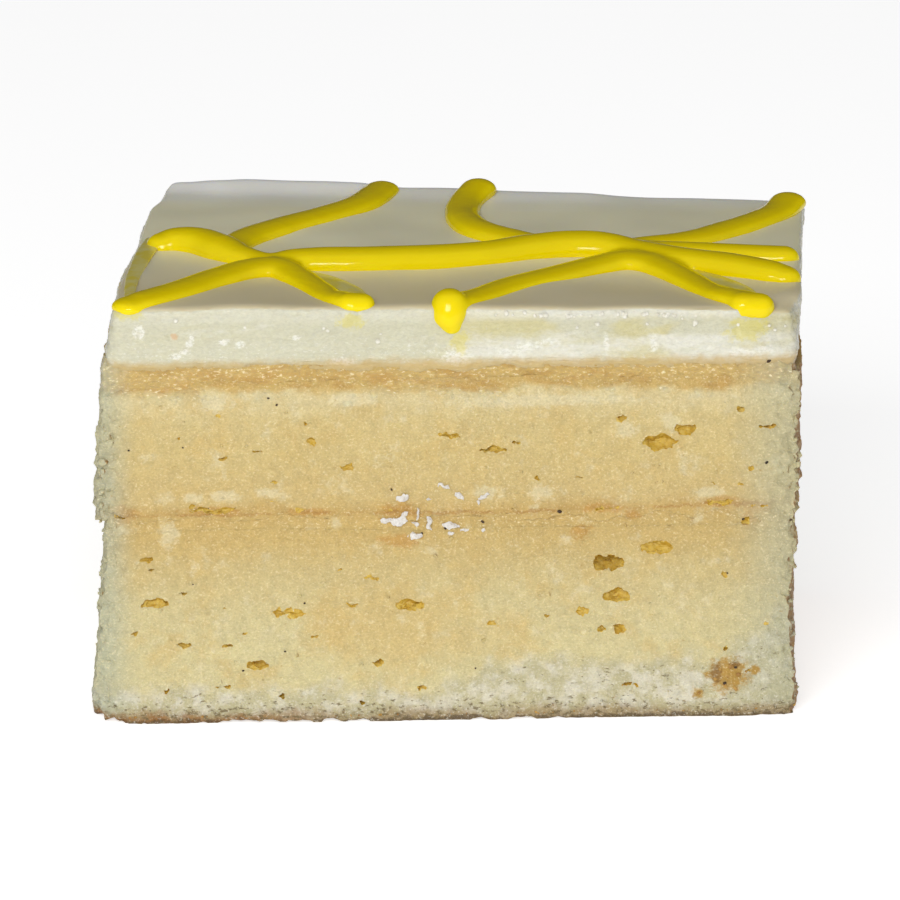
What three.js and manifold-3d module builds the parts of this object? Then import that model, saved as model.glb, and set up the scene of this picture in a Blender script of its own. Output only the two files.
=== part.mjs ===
// A cut slice of lemon layer cake: two sponges with a lemon filling between them, a layer of lemon
// curd, white icing, and a lattice of lemon icing piped over the top.
// Millimetres, +Z up, front cut face towards -Y, origin under the middle of the slice.
import * as THREE from "three";
import { ImprovedNoise } from "three/addons/math/ImprovedNoise.js";
import { mergeVertices } from "three/addons/utils/BufferGeometryUtils.js";
import Module from "manifold-3d";

const wasm = await Module();
wasm.setup();
const perlin = new ImprovedNoise();
const UP = new THREE.Vector3(0, 0, 1);
const WELD = 1e-3; // points closer than this are one point
const FINEST_EDGE = 0.04; // shorter edges, which joining and cutting leave, are merged away

// Driving dimensions of the hand-cut slice, which is a little out of square
const WIDTH = 92;
const DEPTH_LEFT = 63.4;
const DEPTH_RIGHT = 53.4;
const HEIGHT = 56.2;
const FRONT_SLANT = 4.2; // the front face recedes by this from its left end to its right end
const LEFT_SLANT = 4.2; // the left side moves in by this from front to back
const RIGHT_SLANT = 2.6; // the right side moves out by this from front to back
const LEFT_LEAN = 2.2; // the left side leans in by this from base to top
const LAYER_GAP = 0.3;

// Boundaries between the layers: mean height, tilt across the width, and depth of a gentle wave
const BASE = { mean: 0, tilt: 0, wave: 0 };
const FILLING_BOTTOM = { mean: 23.9, tilt: 0.02, wave: 0.8 };
const SEAM = { mean: 28.5, tilt: 0.008, wave: 1.2 };
const CURD_BOTTOM = { mean: 45.3, tilt: 0, wave: 0.8 };
const ICING_BOTTOM = { mean: 48.3, tilt: -0.006, wave: 0.6 };
const ICING_TOP = { mean: HEIGHT, tilt: -0.011, wave: 0 };
const WAVE_LENGTH = 21;

// Sampling of the plan outline: steps along each side and round each corner
const SIDE_STEPS = { front: 28, right: 15, back: 24, left: 17 };
const CORNER_STEPS = 3;

// How far each corner's rounding reaches along the side before it and the side after it
const CORNER_REACH = {
  frontLeft: [1.6, 1.6],
  frontRight: [1.6, 1.6],
  backRight: [2.4, 2.4],
  backLeft: [5, 13],
};

// Upright shape of each layer: how far it bulges out of the plan at its bottom and its top, in even steps
const BULGE = {
  lowerSponge: { bottom: 0.5, top: -0.2, steps: 9 },
  filling: { bottom: -0.3, top: -0.4, steps: 3 },
  upperSponge: { bottom: 0.4, top: 0.3, steps: 6 },
  curd: { bottom: 0.2, top: 0.1, steps: 2 },
  icing: { bottom: 0.1, top: -0.1, steps: 2 },
};

// Rounded edges, as pairs of a share of the layer's height and an outset
const ROUNDED_FOOT = [[0, -1], [0.05, -0.2], [0.13, 0.5]];
const ROUNDED_RIM = [[0.88, -0.15], [0.96, -0.5], [1, -1.2]];

// Crumb relief of a cut sponge: depth and size of its crags
const CRUMB_DEPTH = 0.55;
const CRUMB_SIZE = 4.3;
const MOIST_DEPTH = 0.25; // the moist layers are cut more smoothly

// Air holes in the front face: place across the width, height, and the size of the mouth
const LOWER_HOLES = [
  { x: 20.7, z: 21.6, wide: 4.2, high: 2.0 },
  { x: 22.0, z: 17.1, wide: 4.4, high: 2.0 },
  { x: 26.8, z: 23.4, wide: 4.4, high: 1.3, deep: 1.3 },
  { x: -21.6, z: 14.9, wide: 4.4, high: 1.8 },
  { x: -5.2, z: 15.9, wide: 4.3, high: 1.7 },
  { x: -38.4, z: 16.3, wide: 3.8, high: 1.7 },
  { x: -25.1, z: 7.8, wide: 3.2, high: 1.3 },
  { x: 18.0, z: 15.1, wide: 2.4, high: 1.4 },
  { x: 22.1, z: 12.4, wide: 2.0, high: 2.0 },
];
const UPPER_HOLES = [
  { x: 27.1, z: 38.2, wide: 4.9, high: 2.1 },
  { x: 30.5, z: 39.9, wide: 2.7, high: 1.6 },
  { x: 5.6, z: 37.0, wide: 3.8, high: 1.1 },
  { x: -13.6, z: 34.6, wide: 2.3, high: 1.2 },
  { x: 0.1, z: 38.7, wide: 3.1, high: 1.2 },
];
const HOLE_DEPTH = 1.8;
const HOLE_FACETS = { round: 9, up: 6 };

// Air holes of the other three cut sides: how many in each, and the ranges they are drawn from
const HIDDEN_HOLES = { perSide: 3, place: [0.35, 0.65], wide: [2.4, 4.6], high: [1.2, 2], margin: 4 };
const HOLE_SEED = 41;

// White flakes that cling to the front face beside the seam: place, length, and turn in degrees
const FLAKE_WIDTH = 0.8;
const FLAKE_THICKNESS = 0.9;
const FILLING_FLAKES = [
  { x: -6.9, z: 26.2, long: 2.6, turn: 25 },
  { x: -5.9, z: 26.6, long: 2.4, turn: 60 },
  { x: -1.9, z: 26.0, long: 2.3, turn: 100 },
  { x: 0.9, z: 25.9, long: 2.6, turn: 5 },
  { x: 2.9, z: 25.6, long: 1.7, turn: 12 },
];
const UPPER_FLAKES = [
  { x: -6.3, z: 30.9, long: 1.9, turn: 20 },
  { x: -0.4, z: 32.8, long: 1.7, turn: -20 },
  { x: 1.7, z: 31.4, long: 1.8, turn: -35 },
  { x: 5.0, z: 31.2, long: 1.8, turn: 30 },
];

// Piped lemon icing: a rounded bead that sits a little into the white icing
const BEAD_WIDTH = 5;
const BEAD_HALF_HEIGHT = 2;
const BEAD_CENTRE_LIFT = 0.6;
const BEAD_SIDES = 8;
const BEAD_STEP = 2.8;
const EDGE_SAG = 0.9; // a strand that ends at the front edge sags over it by this
const END_STATIONS = [0, 0.35, 1.2]; // distances from a strand's end where its rounding is sampled
const TIP_SHARE = 0.3; // size of the blunt tip, as a share of the bead

// The route of each strand over the top: across, back, and lift above or below the bead's usual height
const STRANDS = {
  leftArch: [
    [-42.2, -29.2, -0.5], [-35, -23.6], [-27.5, -15.6], [-22.8, -12.8], [-18.6, -18.2], [-15, -25.2],
    [-12.3, -29.5, -EDGE_SAG],
  ],
  leftBackArm: [
    [-9.2, 28.3, -0.4], [-10.6, 22], [-15.6, 15.3], [-22.4, 8.3], [-28.4, -0.6], [-27, -7.4],
  ],
  spine: [
    [-41.8, -12.6, -1.2], [-38.8, -2.6], [-33.4, -1.4, 0.5], [-28, -7.2, 0.7], [-20.4, -9.6], [-8.5, -9],
    [5.3, -6], [14, -2.2, 0.5], [21, -1.8, 0.7], [27, -5.6, 0.5], [36.5, -11], [44.4, -15.4, -0.4],
  ],
  rightTwig: [
    [24, -2.4], [31.9, -3.8], [38, -5.4], [44.8, -6.4, -0.4],
  ],
  middleBackArm: [
    [3.6, 26.8, -0.3], [1.2, 19.4], [2.8, 9.1], [7, 2.8], [13, 0.2], [19, -2.4],
  ],
  rightBackArm: [
    [46, 22.8, -0.2], [42.3, 14.5], [37, 7.8], [32, 2.9], [26.5, 0.9], [20, -2],
  ],
  rightArch: [
    [0.4, -30.2, -2.6], [1, -28.4, -0.5], [3.6, -24.6], [8.5, -18.9], [15.1, -13.4], [21.8, -8.8],
    [25.4, -7.9], [28.5, -10.6], [31.6, -15.4], [34.6, -21], [37.2, -25.4], [38.8, -27.4, -EDGE_SAG],
  ],
};

// A solid between rings of points, one above the other, closed by a fan at each end
function loft(rings) {
  const count = rings[0].length;
  const points = rings.flat();
  const faces = [];
  for (let level = 0; level + 1 < rings.length; level++) {
    for (let i = 0; i < count; i++) {
      const next = (i + 1) % count;
      const [a, b] = [level * count + i, level * count + next];
      const [c, d] = [b + count, a + count];
      faces.push(a, b, c, a, c, d);
    }
  }
  const lastRing = (rings.length - 1) * count;
  const bottomCentre = points.push(middle(rings.at(0))) - 1;
  const topCentre = points.push(middle(rings.at(-1))) - 1;
  for (let i = 0; i < count; i++) {
    const next = (i + 1) % count;
    faces.push(bottomCentre, next, i, topCentre, lastRing + i, lastRing + next);
  }
  const geometry = new THREE.BufferGeometry().setFromPoints(points);
  return geometry.setIndex(faces);
}

function middle(ring) {
  const sum = new THREE.Vector3();
  ring.forEach((point) => sum.add(point));
  return sum.divideScalar(ring.length);
}

// Solids for joining and cutting, and back to geometry
function solidOf(geometry) {
  const bare = geometry.clone();
  bare.deleteAttribute("normal");
  bare.deleteAttribute("uv");
  const merged = mergeVertices(bare, WELD);
  return new wasm.Manifold(
    new wasm.Mesh({
      numProp: 3,
      vertProperties: merged.attributes.position.array,
      triVerts: new Uint32Array(merged.index.array),
    }),
  );
}

function geometryOf(solid) {
  const mesh = solid.getMesh();
  const geometry = new THREE.BufferGeometry();
  geometry.setAttribute("position", new THREE.BufferAttribute(mesh.vertProperties, 3));
  geometry.setIndex(new THREE.BufferAttribute(mesh.triVerts, 1));
  geometry.computeVertexNormals();
  return geometry;
}

// The largest body of a solid: what fusing seals inside it is filled, and loose scraps are dropped
function wholeBody(solid) {
  const bodies = solidOf(geometryOf(solid.simplify(FINEST_EDGE))).decompose();
  return bodies.reduce((a, b) => (a.volume() > b.volume() ? a : b));
}

const join = (solid, pieces) => pieces.reduce((sum, piece) => sum.add(solidOf(piece)), solid);
const cut = (solid, pieces) => pieces.reduce((rest, piece) => rest.subtract(solidOf(piece)), solid);

// Plan of the slice
function planCorners(height) {
  const lean = (LEFT_LEAN * height) / HEIGHT;
  const front = -DEPTH_LEFT / 2;
  return {
    frontLeft: new THREE.Vector2(-WIDTH / 2 + lean, front),
    frontRight: new THREE.Vector2(WIDTH / 2, front + FRONT_SLANT),
    backRight: new THREE.Vector2(WIDTH / 2 + RIGHT_SLANT, front + FRONT_SLANT + DEPTH_RIGHT),
    backLeft: new THREE.Vector2(-WIDTH / 2 + lean + LEFT_SLANT, front + DEPTH_LEFT),
  };
}

// Points round the plan, anticlockwise from the front left corner, each with its outward direction
function planOutline(height) {
  const corners = planCorners(height);
  const names = Object.keys(corners);
  const sides = Object.values(SIDE_STEPS);
  const stepTowards = (from, to, reach) => to.clone().sub(from).setLength(reach).add(from);
  const points = [];
  names.forEach((name, i) => {
    const corner = corners[name];
    const before = corners[names.at(i - 1)];
    const after = corners[names[(i + 1) % names.length]];
    const nextName = names[(i + 1) % names.length];
    const start = stepTowards(corner, before, CORNER_REACH[name][0]);
    const end = stepTowards(corner, after, CORNER_REACH[name][1]);
    const sideEnd = stepTowards(after, corner, CORNER_REACH[nextName][0]);
    const round = new THREE.QuadraticBezierCurve(start, corner, end);
    points.push(...round.getPoints(CORNER_STEPS).slice(0, -1));
    points.push(...new THREE.LineCurve(end, sideEnd).getPoints(sides[i]).slice(0, -1));
  });
  return points.map((point, i) => {
    const along = points[(i + 1) % points.length].clone().sub(points.at(i - 1)).normalize();
    return { point, outward: new THREE.Vector2(along.y, -along.x) };
  });
}

const frontY = (x) => -DEPTH_LEFT / 2 + (FRONT_SLANT * (x + WIDTH / 2)) / WIDTH;

function boundaryHeight(boundary, x, y) {
  const wave = perlin.noise(x / WAVE_LENGTH, y / WAVE_LENGTH, boundary.mean);
  return boundary.mean + boundary.tilt * x + boundary.wave * wave;
}

// One layer of the slice. Each level is [share of the layer's height, outset of its outline].
function layer({ bottom, top, levels, relief }) {
  const rings = levels.map(([share, outset]) => {
    const midHeight = THREE.MathUtils.lerp(bottom.mean, top.mean, share);
    return planOutline(midHeight).map(({ point, outward }) => {
      const crag = perlin.noise(point.x / CRUMB_SIZE, point.y / CRUMB_SIZE, midHeight / CRUMB_SIZE);
      const moved = point.clone().addScaledVector(outward, outset + relief * crag);
      const low = boundaryHeight(bottom, moved.x, moved.y) + (bottom === BASE ? 0 : LAYER_GAP / 2);
      const high = boundaryHeight(top, moved.x, moved.y) - (top === ICING_TOP ? 0 : LAYER_GAP / 2);
      return new THREE.Vector3(moved.x, moved.y, THREE.MathUtils.lerp(low, high, share));
    });
  });
  return loft(rings);
}

// Levels of a layer that has no rounded edge
function evenLevels({ bottom, top, steps }) {
  return Array.from({ length: steps + 1 }, (_, i) => [
    i / steps,
    THREE.MathUtils.lerp(bottom, top, i / steps),
  ]);
}

// Air holes: flattened bubbles whose middle lies in the cut face
function bubble({ wide, high, deep = HOLE_DEPTH }, place, turn) {
  const hole = new THREE.SphereGeometry(1, HOLE_FACETS.round, HOLE_FACETS.up);
  hole.scale(wide / 2, deep, high / 2);
  hole.rotateZ(turn);
  return hole.translate(place.x, place.y, place.z);
}

function frontBubbles(holes) {
  const slant = Math.atan2(FRONT_SLANT, WIDTH);
  return holes.map((hole) => bubble(hole, new THREE.Vector3(hole.x, frontY(hole.x), hole.z), slant));
}

// The same number of air holes in each of the sides that the front view hides, by a seeded draw
function hiddenBubbles(bottom, top, firstSeed) {
  let seed = firstSeed;
  const draw = ([from, to]) => THREE.MathUtils.lerp(from, to, THREE.MathUtils.seededRandom(seed++));
  const { perSide, place, wide, high, margin } = HIDDEN_HOLES;
  const heights = [bottom.mean + margin, top.mean - margin];
  const corners = planCorners((bottom.mean + top.mean) / 2);
  const sides = [
    [corners.frontRight, corners.backRight],
    [corners.backRight, corners.backLeft],
    [corners.backLeft, corners.frontLeft],
  ];
  return sides.flatMap(([from, to]) => {
    const side = to.clone().sub(from);
    return Array.from({ length: perSide }, (_, i) => {
      const along = from.clone().addScaledVector(side, (i + draw(place)) / perSide);
      const mouth = { wide: draw(wide), high: draw(high) };
      return bubble(mouth, new THREE.Vector3(along.x, along.y, draw(heights)), side.angle());
    });
  });
}

// Flakes: small bars that lie on the front face, half sunk in it
function flakeBars(flakes) {
  return flakes.map(({ x, z, long, turn }) => {
    const bar = new THREE.BoxGeometry(long, FLAKE_THICKNESS, FLAKE_WIDTH);
    bar.rotateY(THREE.MathUtils.degToRad(-turn));
    return bar.translate(x, frontY(x), z);
  });
}

// A bead of piped icing along a route over the top, with round ends
function bead(route) {
  const path = new THREE.CatmullRomCurve3(
    route.map(([x, y, lift = 0]) =>
      new THREE.Vector3(x, y, boundaryHeight(ICING_TOP, x, y) + BEAD_CENTRE_LIFT + lift)),
  );
  const length = path.getLength();
  const rings = beadStations(length).map((distance) => {
    const centre = path.getPointAt(distance / length);
    const along = path.getTangentAt(distance / length);
    const side = UP.clone().cross(along).normalize();
    const rise = along.clone().cross(side);
    const size = endRounding(Math.min(distance, length - distance));
    return ellipse(centre, side, rise, (size * BEAD_WIDTH) / 2, size * BEAD_HALF_HEIGHT);
  });
  return loft(rings);
}

// Distances along a strand where its section is drawn: close together at the ends, even between them
function beadStations(length) {
  const first = BEAD_WIDTH / 2;
  const steps = Math.round((length - 2 * first) / BEAD_STEP);
  const between = Array.from({ length: steps + 1 }, (_, i) =>
    THREE.MathUtils.lerp(first, length - first, i / steps));
  return [...END_STATIONS, ...between, ...END_STATIONS.map((fromEnd) => length - fromEnd).reverse()];
}

// Share of the full section at a distance from the strand's end
function endRounding(fromEnd) {
  const inward = Math.min(1, fromEnd / (BEAD_WIDTH / 2));
  return TIP_SHARE + (1 - TIP_SHARE) * Math.sqrt(1 - (1 - inward) ** 2);
}

function ellipse(centre, side, rise, halfWidth, halfHeight) {
  return Array.from({ length: BEAD_SIDES }, (_, i) => {
    const angle = (2 * Math.PI * i) / BEAD_SIDES;
    return centre
      .clone()
      .addScaledVector(side, halfWidth * Math.cos(angle))
      .addScaledVector(rise, halfHeight * Math.sin(angle));
  });
}

// The pieces of the slice
function lowerSponge() {
  const cutLevels = evenLevels(BULGE.lowerSponge).filter(([share]) => share > ROUNDED_FOOT.at(-1)[0]);
  const levels = [...ROUNDED_FOOT, ...cutLevels];
  const slab = layer({ bottom: BASE, top: FILLING_BOTTOM, levels, relief: CRUMB_DEPTH });
  const holes = [...frontBubbles(LOWER_HOLES), ...hiddenBubbles(BASE, FILLING_BOTTOM, HOLE_SEED)];
  return geometryOf(wholeBody(cut(solidOf(slab), holes)));
}

function lemonFilling() {
  const levels = evenLevels(BULGE.filling);
  const slab = layer({ bottom: FILLING_BOTTOM, top: SEAM, levels, relief: MOIST_DEPTH });
  return geometryOf(wholeBody(join(solidOf(slab), flakeBars(FILLING_FLAKES))));
}

function upperSponge() {
  const levels = evenLevels(BULGE.upperSponge);
  const slab = layer({ bottom: SEAM, top: CURD_BOTTOM, levels, relief: CRUMB_DEPTH });
  const holes = [...frontBubbles(UPPER_HOLES), ...hiddenBubbles(SEAM, CURD_BOTTOM, 2 * HOLE_SEED)];
  return geometryOf(wholeBody(cut(join(solidOf(slab), flakeBars(UPPER_FLAKES)), holes)));
}

function lemonCurd() {
  return layer({
    bottom: CURD_BOTTOM,
    top: ICING_BOTTOM,
    levels: evenLevels(BULGE.curd),
    relief: MOIST_DEPTH,
  });
}

function icing() {
  const cutLevels = evenLevels(BULGE.icing).filter(([share]) => share < ROUNDED_RIM[0][0]);
  const levels = [...cutLevels, ...ROUNDED_RIM];
  const slab = layer({ bottom: ICING_BOTTOM, top: ICING_TOP, levels, relief: MOIST_DEPTH });
  return geometryOf(wholeBody(join(solidOf(slab), Object.values(STRANDS).map(bead))));
}

function piece(name, geometry, color, roughness) {
  geometry.computeVertexNormals();
  const material = new THREE.MeshStandardMaterial({ color, roughness, metalness: 0 });
  const mesh = new THREE.Mesh(geometry, material);
  mesh.name = name;
  return mesh;
}

const cake = new THREE.Group();
cake.add(
  piece("lower_sponge", lowerSponge(), 0xd6c691, 0.85),
  piece("lemon_filling", lemonFilling(), 0xd1b77a, 0.5),
  piece("upper_sponge", upperSponge(), 0xd8c188, 0.85),
  piece("lemon_curd", lemonCurd(), 0xcdb06b, 0.4),
  piece("icing", icing(), 0xe6e2c8, 0.35),
);

// The origin lies under the middle of the whole slice.
const extent = new THREE.Box3().setFromObject(cake);
const centre = extent.getCenter(new THREE.Vector3());
cake.position.set(-centre.x, -centre.y, -extent.min.z);

export default cake;
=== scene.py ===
# The finish of the lemon cake slice: open crumb, soaked filling, wet curd, soft icing and piped strands.
import math
import random

import bpy
import numpy as np
from mathutils import Euler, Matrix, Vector


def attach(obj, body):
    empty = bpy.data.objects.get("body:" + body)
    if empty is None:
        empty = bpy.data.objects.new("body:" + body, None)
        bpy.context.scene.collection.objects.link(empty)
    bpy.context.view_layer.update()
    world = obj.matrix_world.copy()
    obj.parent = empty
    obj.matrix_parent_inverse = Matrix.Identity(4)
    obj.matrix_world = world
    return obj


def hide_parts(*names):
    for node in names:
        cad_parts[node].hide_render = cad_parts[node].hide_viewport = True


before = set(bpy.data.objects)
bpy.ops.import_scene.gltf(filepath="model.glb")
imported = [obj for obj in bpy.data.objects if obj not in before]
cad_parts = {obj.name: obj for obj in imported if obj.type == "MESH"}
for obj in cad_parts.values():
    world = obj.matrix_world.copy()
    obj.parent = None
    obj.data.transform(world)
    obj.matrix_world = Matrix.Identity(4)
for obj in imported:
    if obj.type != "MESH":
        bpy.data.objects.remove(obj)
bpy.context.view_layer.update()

MM = 0.001
X, Y, Z = 0, 1, 2

# The slice's plan, as the solids have it, in millimetres; its own zero lies a little off the frame's
PLAN_ZERO = Vector((-1.53, 0.08, 0.0))
WIDTH = 92.0
DEPTH_LEFT = 63.4
DEPTH_RIGHT = 53.4
FRONT_SLANT = 4.2
LEFT_SLANT = 4.2
RIGHT_SLANT = 2.6
LEFT_LEAN = 2.2

# Heights of the layers' boundaries in millimetres, and how the icing's top falls towards the right
FOOT = 0.0
FILLING_BOTTOM = 23.9
SEAM = 28.5
CURD_BOTTOM = 45.3
ICING_BOTTOM = 48.3
ICING_TOP = 56.2
ICING_TILT = -0.011

# The marks on the cut face lie on a slant: lower than their tables say at the right, higher at the far left
MARK_SHIFT = -0.28
MARK_FALL = -0.018

# How far the right side of the layers under the icing comes in at the back, in millimetres
BACK_TAPER = 1.9

# Cells of the modelling grid in millimetres: first over the whole block, then finer on the cut sides
CELL = 1.42
ICING_CELL = 2.4
FINE_CUTS = 3

# The camera looks at the cut face from a little above
VIEW_TARGET = (0.55, -0.3, 28.0)
VIEW_ELEVATION = 17.0
VIEW_DISTANCE = 1.0
VIEW_LENS = 298.6
VIEW_SENSOR = 36


def at(x, y, z):
    """A point of the plan in millimetres, as a place in the frame in metres."""
    return (Vector((x, y, z)) + PLAN_ZERO) * MM


def plan_corner(right, back, z):
    """A corner of the plan at a height, in millimetres."""
    lean = LEFT_LEAN * z / ICING_TOP
    front = -DEPTH_LEFT / 2
    if right:
        return Vector((WIDTH / 2 + RIGHT_SLANT * back, front + FRONT_SLANT + DEPTH_RIGHT * back))
    return Vector((-WIDTH / 2 + lean + LEFT_SLANT * back, front + DEPTH_LEFT * back))


def corner_at(right, back, z):
    """The place of that corner in the frame, in metres."""
    return at(*plan_corner(right, back, z), z)


def face_frames(z):
    """The four sides at a height: start and end of each in the plan, in millimetres."""
    corners = [plan_corner(0, 0, z), plan_corner(1, 0, z), plan_corner(1, 1, z), plan_corner(0, 1, z)]
    return list(zip(corners, corners[1:] + corners[:1]))


def front_y(x):
    """How far forward the cut face is at a place across the plan, in millimetres."""
    return -DEPTH_LEFT / 2 + FRONT_SLANT * (x + WIDTH / 2) / WIDTH


def on_face(x, z):
    """The place on the cut face of a mark in one of the tables, in millimetres."""
    return (x, front_y(x), z + MARK_SHIFT + MARK_FALL * x)


def back_y(x):
    """How far back the slice reaches at a place across the plan, in millimetres."""
    left = plan_corner(0, 1, ICING_TOP)
    right = plan_corner(1, 1, ICING_TOP)
    return left.y + (right.y - left.y) * (x - left.x) / (right.x - left.x)


def icing_height(x):
    """Height of the icing's top at a place across the plan, in millimetres."""
    return ICING_TOP + ICING_TILT * x


# Working by hand on a mesh

def deselect():
    if bpy.context.object and bpy.context.object.mode != "OBJECT":
        bpy.ops.object.mode_set(mode="OBJECT")
    bpy.ops.object.select_all(action="DESELECT")


def only(piece):
    deselect()
    piece.select_set(True)
    bpy.context.view_layer.objects.active = piece


def points_of(piece):
    co = np.empty(len(piece.data.vertices) * 3, dtype=np.float32)
    piece.data.vertices.foreach_get("co", co)
    return co.reshape(-1, 3)


def clear_selection(piece):
    """Goes to object mode with nothing selected in the mesh."""
    bpy.ops.object.mode_set(mode="OBJECT")
    for part in (piece.data.vertices, piece.data.edges, piece.data.polygons):
        part.foreach_set("select", np.zeros(len(part), dtype=bool))


def near(place, reach):
    """A test for points within some millimetres of a place."""
    return lambda co: np.linalg.norm(co - np.array(place), axis=1) < reach * MM


def select_points(piece, chosen):
    """Selects the points that pass the test."""
    clear_selection(piece)
    bpy.context.tool_settings.mesh_select_mode = (True, False, False)
    piece.data.vertices.foreach_set("select", chosen(points_of(piece)))
    bpy.ops.object.mode_set(mode="EDIT")


def select_edges(piece, chosen):
    """Selects the edges whose two ends pass the test."""
    clear_selection(piece)
    bpy.context.tool_settings.mesh_select_mode = (False, True, False)
    ends = np.empty(len(piece.data.edges) * 2, dtype=np.int32)
    piece.data.edges.foreach_get("vertices", ends)
    places = points_of(piece)[ends.reshape(-1, 2)]
    piece.data.edges.foreach_set("select", chosen(places[:, 0], places[:, 1]))
    bpy.ops.object.mode_set(mode="EDIT")


def select_faces(piece, chosen):
    """Selects the faces whose normal passes the test."""
    clear_selection(piece)
    bpy.context.tool_settings.mesh_select_mode = (False, False, True)
    faces = piece.data.polygons
    normals = np.empty(len(faces) * 3, dtype=np.float32)
    faces.foreach_get("normal", normals)
    faces.foreach_set("select", chosen(normals.reshape(-1, 3)))
    bpy.ops.object.mode_set(mode="EDIT")


def leave_edit():
    bpy.ops.object.mode_set(mode="OBJECT")


def apply(piece, modifier):
    only(piece)
    bpy.ops.object.modifier_apply(modifier=modifier.name)


def settle(piece):
    """Puts the object at the origin, unturned and unscaled, with its place in its mesh."""
    only(piece)
    bpy.ops.object.transform_apply(location=True, rotation=True, scale=True)


def joined(pieces, name):
    deselect()
    for piece in pieces:
        piece.select_set(True)
    bpy.context.view_layer.objects.active = pieces[0]
    bpy.ops.object.join()
    whole = bpy.context.object
    whole.name = name
    settle(whole)
    return whole


def drawn(piece, chosen, by, reach):
    """Draws chosen points along by some millimetres, and the points around them less and less."""
    select_points(piece, chosen)
    bpy.ops.transform.translate(
        value=Vector(by) * MM,
        use_proportional_edit=True,
        proportional_edit_falloff="SMOOTH",
        proportional_size=reach * MM,
    )
    leave_edit()


def new_group(piece):
    """A new group of points, for relief on only part of a piece."""
    only(piece)
    bpy.ops.object.vertex_group_add()
    return piece.vertex_groups[-1].name


def weigh_selection(weight):
    """Puts the selected points into the newest group."""
    bpy.context.tool_settings.vertex_group_weight = weight
    bpy.ops.object.vertex_group_assign()
    leave_edit()


def scattered(name, detail, copies):
    """Joins many small copies of a ball into one piece: each has a place, sizes and turns."""
    bpy.ops.mesh.primitive_ico_sphere_add(subdivisions=detail, radius=1)
    shape = bpy.context.object
    corners = points_of(shape).astype(float)
    faces = [tuple(face.vertices) for face in shape.data.polygons]
    all_corners = []
    all_faces = []
    for place, sizes, turns in copies:
        start = len(all_corners)
        turned = np.array(Euler(turns).to_matrix()) @ (corners * np.array(sizes) * MM).T
        all_corners.extend(turned.T + np.array(place))
        all_faces.extend(tuple(start + corner for corner in face) for face in faces)
    mesh = bpy.data.meshes.new(name)
    mesh.from_pydata(all_corners, [], all_faces)
    piece = bpy.data.objects.new(name, mesh)
    bpy.context.collection.objects.link(piece)
    bpy.data.objects.remove(shape)
    return piece


# Relief

def clouds(name, size, depth=2, colour=False):
    """Lumps about size millimetres across."""
    texture = bpy.data.textures.new(name, type="CLOUDS")
    texture.noise_scale = size * MM
    texture.noise_depth = depth
    texture.cloud_type = "COLOR" if colour else "GRAYSCALE"
    return texture


def relief(piece, texture, depth, direction="NORMAL", guide=None, group=""):
    """Moves the surface in and out by a texture, by up to about half the depth, in millimetres."""
    modifier = piece.modifiers.new(texture.name, "DISPLACE")
    modifier.texture = texture
    modifier.texture_coords = "OBJECT" if guide else "LOCAL"
    if guide:
        modifier.texture_coords_object = guide
    modifier.direction = direction
    modifier.strength = depth * MM
    modifier.mid_level = 0.5
    modifier.vertex_group = group
    apply(piece, modifier)


WARP = clouds("layer_waves", 16, 1, True)
CRUMPLE = clouds("crumb_crumple", 1.1, 1, True)
CLUMPS = clouds("crumb_clumps", 4.5, 2)
GRAINS = clouds("crumb_grains", 0.7, 1)
TORN = clouds("torn_edge", 4.0, 3)
SWAY = clouds("seam_sway", 9.0, 1)
CORNER_TEAR = clouds("corner_tear", 1.3, 3, True)
FOOT_TEAR = clouds("foot_tear", 2.0, 2)
SMEARS = clouds("knife_smears", 2.4, 2)
RIPPLES = clouds("wet_ripples", 0.9, 1)
HOLE_EDGE = clouds("hole_edge", 1.0, 2, True)
HOLE_CRUMB = clouds("hole_crumb", 0.4, 1)


# The layers

def block(name, heights, bulges, left, right, narrower):
    """A keystone block of the slice, with its corners still sharp.

    The bulges push all sides out at the low and the high end, left and right one side more, and the right
    side comes in at the back, in millimetres.
    """
    low, high = heights
    size = Vector((WIDTH, DEPTH_LEFT, high - low)) * MM
    bpy.ops.mesh.primitive_cube_add(size=1, location=at(0, 0, (low + high) / 2), scale=size)
    piece = bpy.context.object
    piece.name = name
    settle(piece)
    for side in (0, 1):
        for back in (0, 1):
            for level, z in enumerate(heights):
                start = at((side - 0.5) * WIDTH, (back - 0.5) * DEPTH_LEFT, z)
                bulge = bulges[level]
                wider = bulge + (left, right)[side][level] - narrower[level] * side * back
                corner = plan_corner(side, back, z) + Vector(((2 * side - 1) * wider, (2 * back - 1) * bulge))
                tilt = ICING_TILT * corner.x if z == ICING_TOP else 0
                goal = at(corner.x, corner.y, z + tilt)
                select_points(piece, near(start, 1.0))
                bpy.ops.transform.translate(value=goal - start)
    leave_edit()
    return piece


def along(axis):
    """A test for edges that run mostly along an axis."""
    return lambda a, b: np.abs(b - a).argmax(axis=1) == axis


def gridded(piece, height, cell):
    """Cuts the block into even cells."""
    for axis, size, step in ((Z, height, CELL), (X, WIDTH, cell), (Y, DEPTH_LEFT, cell)):
        select_edges(piece, along(axis))
        bpy.ops.mesh.subdivide(number_cuts=max(1, round(size / step) - 1))
    leave_edit()


# Upright corners: right or left, back or front, reach of the rounding in millimetres, and its strength
CORNERS = [(0, 0, 5, 3), (1, 0, 5, 3), (1, 1, 6, 4), (0, 1, 12, 34)]


def near_corners(reach):
    """A test for points within some millimetres of an upright corner."""
    def chosen(co):
        inside = np.zeros(len(co), dtype=bool)
        for right, back, *_ in CORNERS:
            low, high = (np.array(corner_at(right, back, z)) for z in (FOOT, ICING_TOP))
            corner = low + (high - low) * co[:, Z:] / high[Z]
            inside |= np.linalg.norm((co - corner)[:, :2], axis=1) < reach * MM
        return inside
    return chosen


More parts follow.
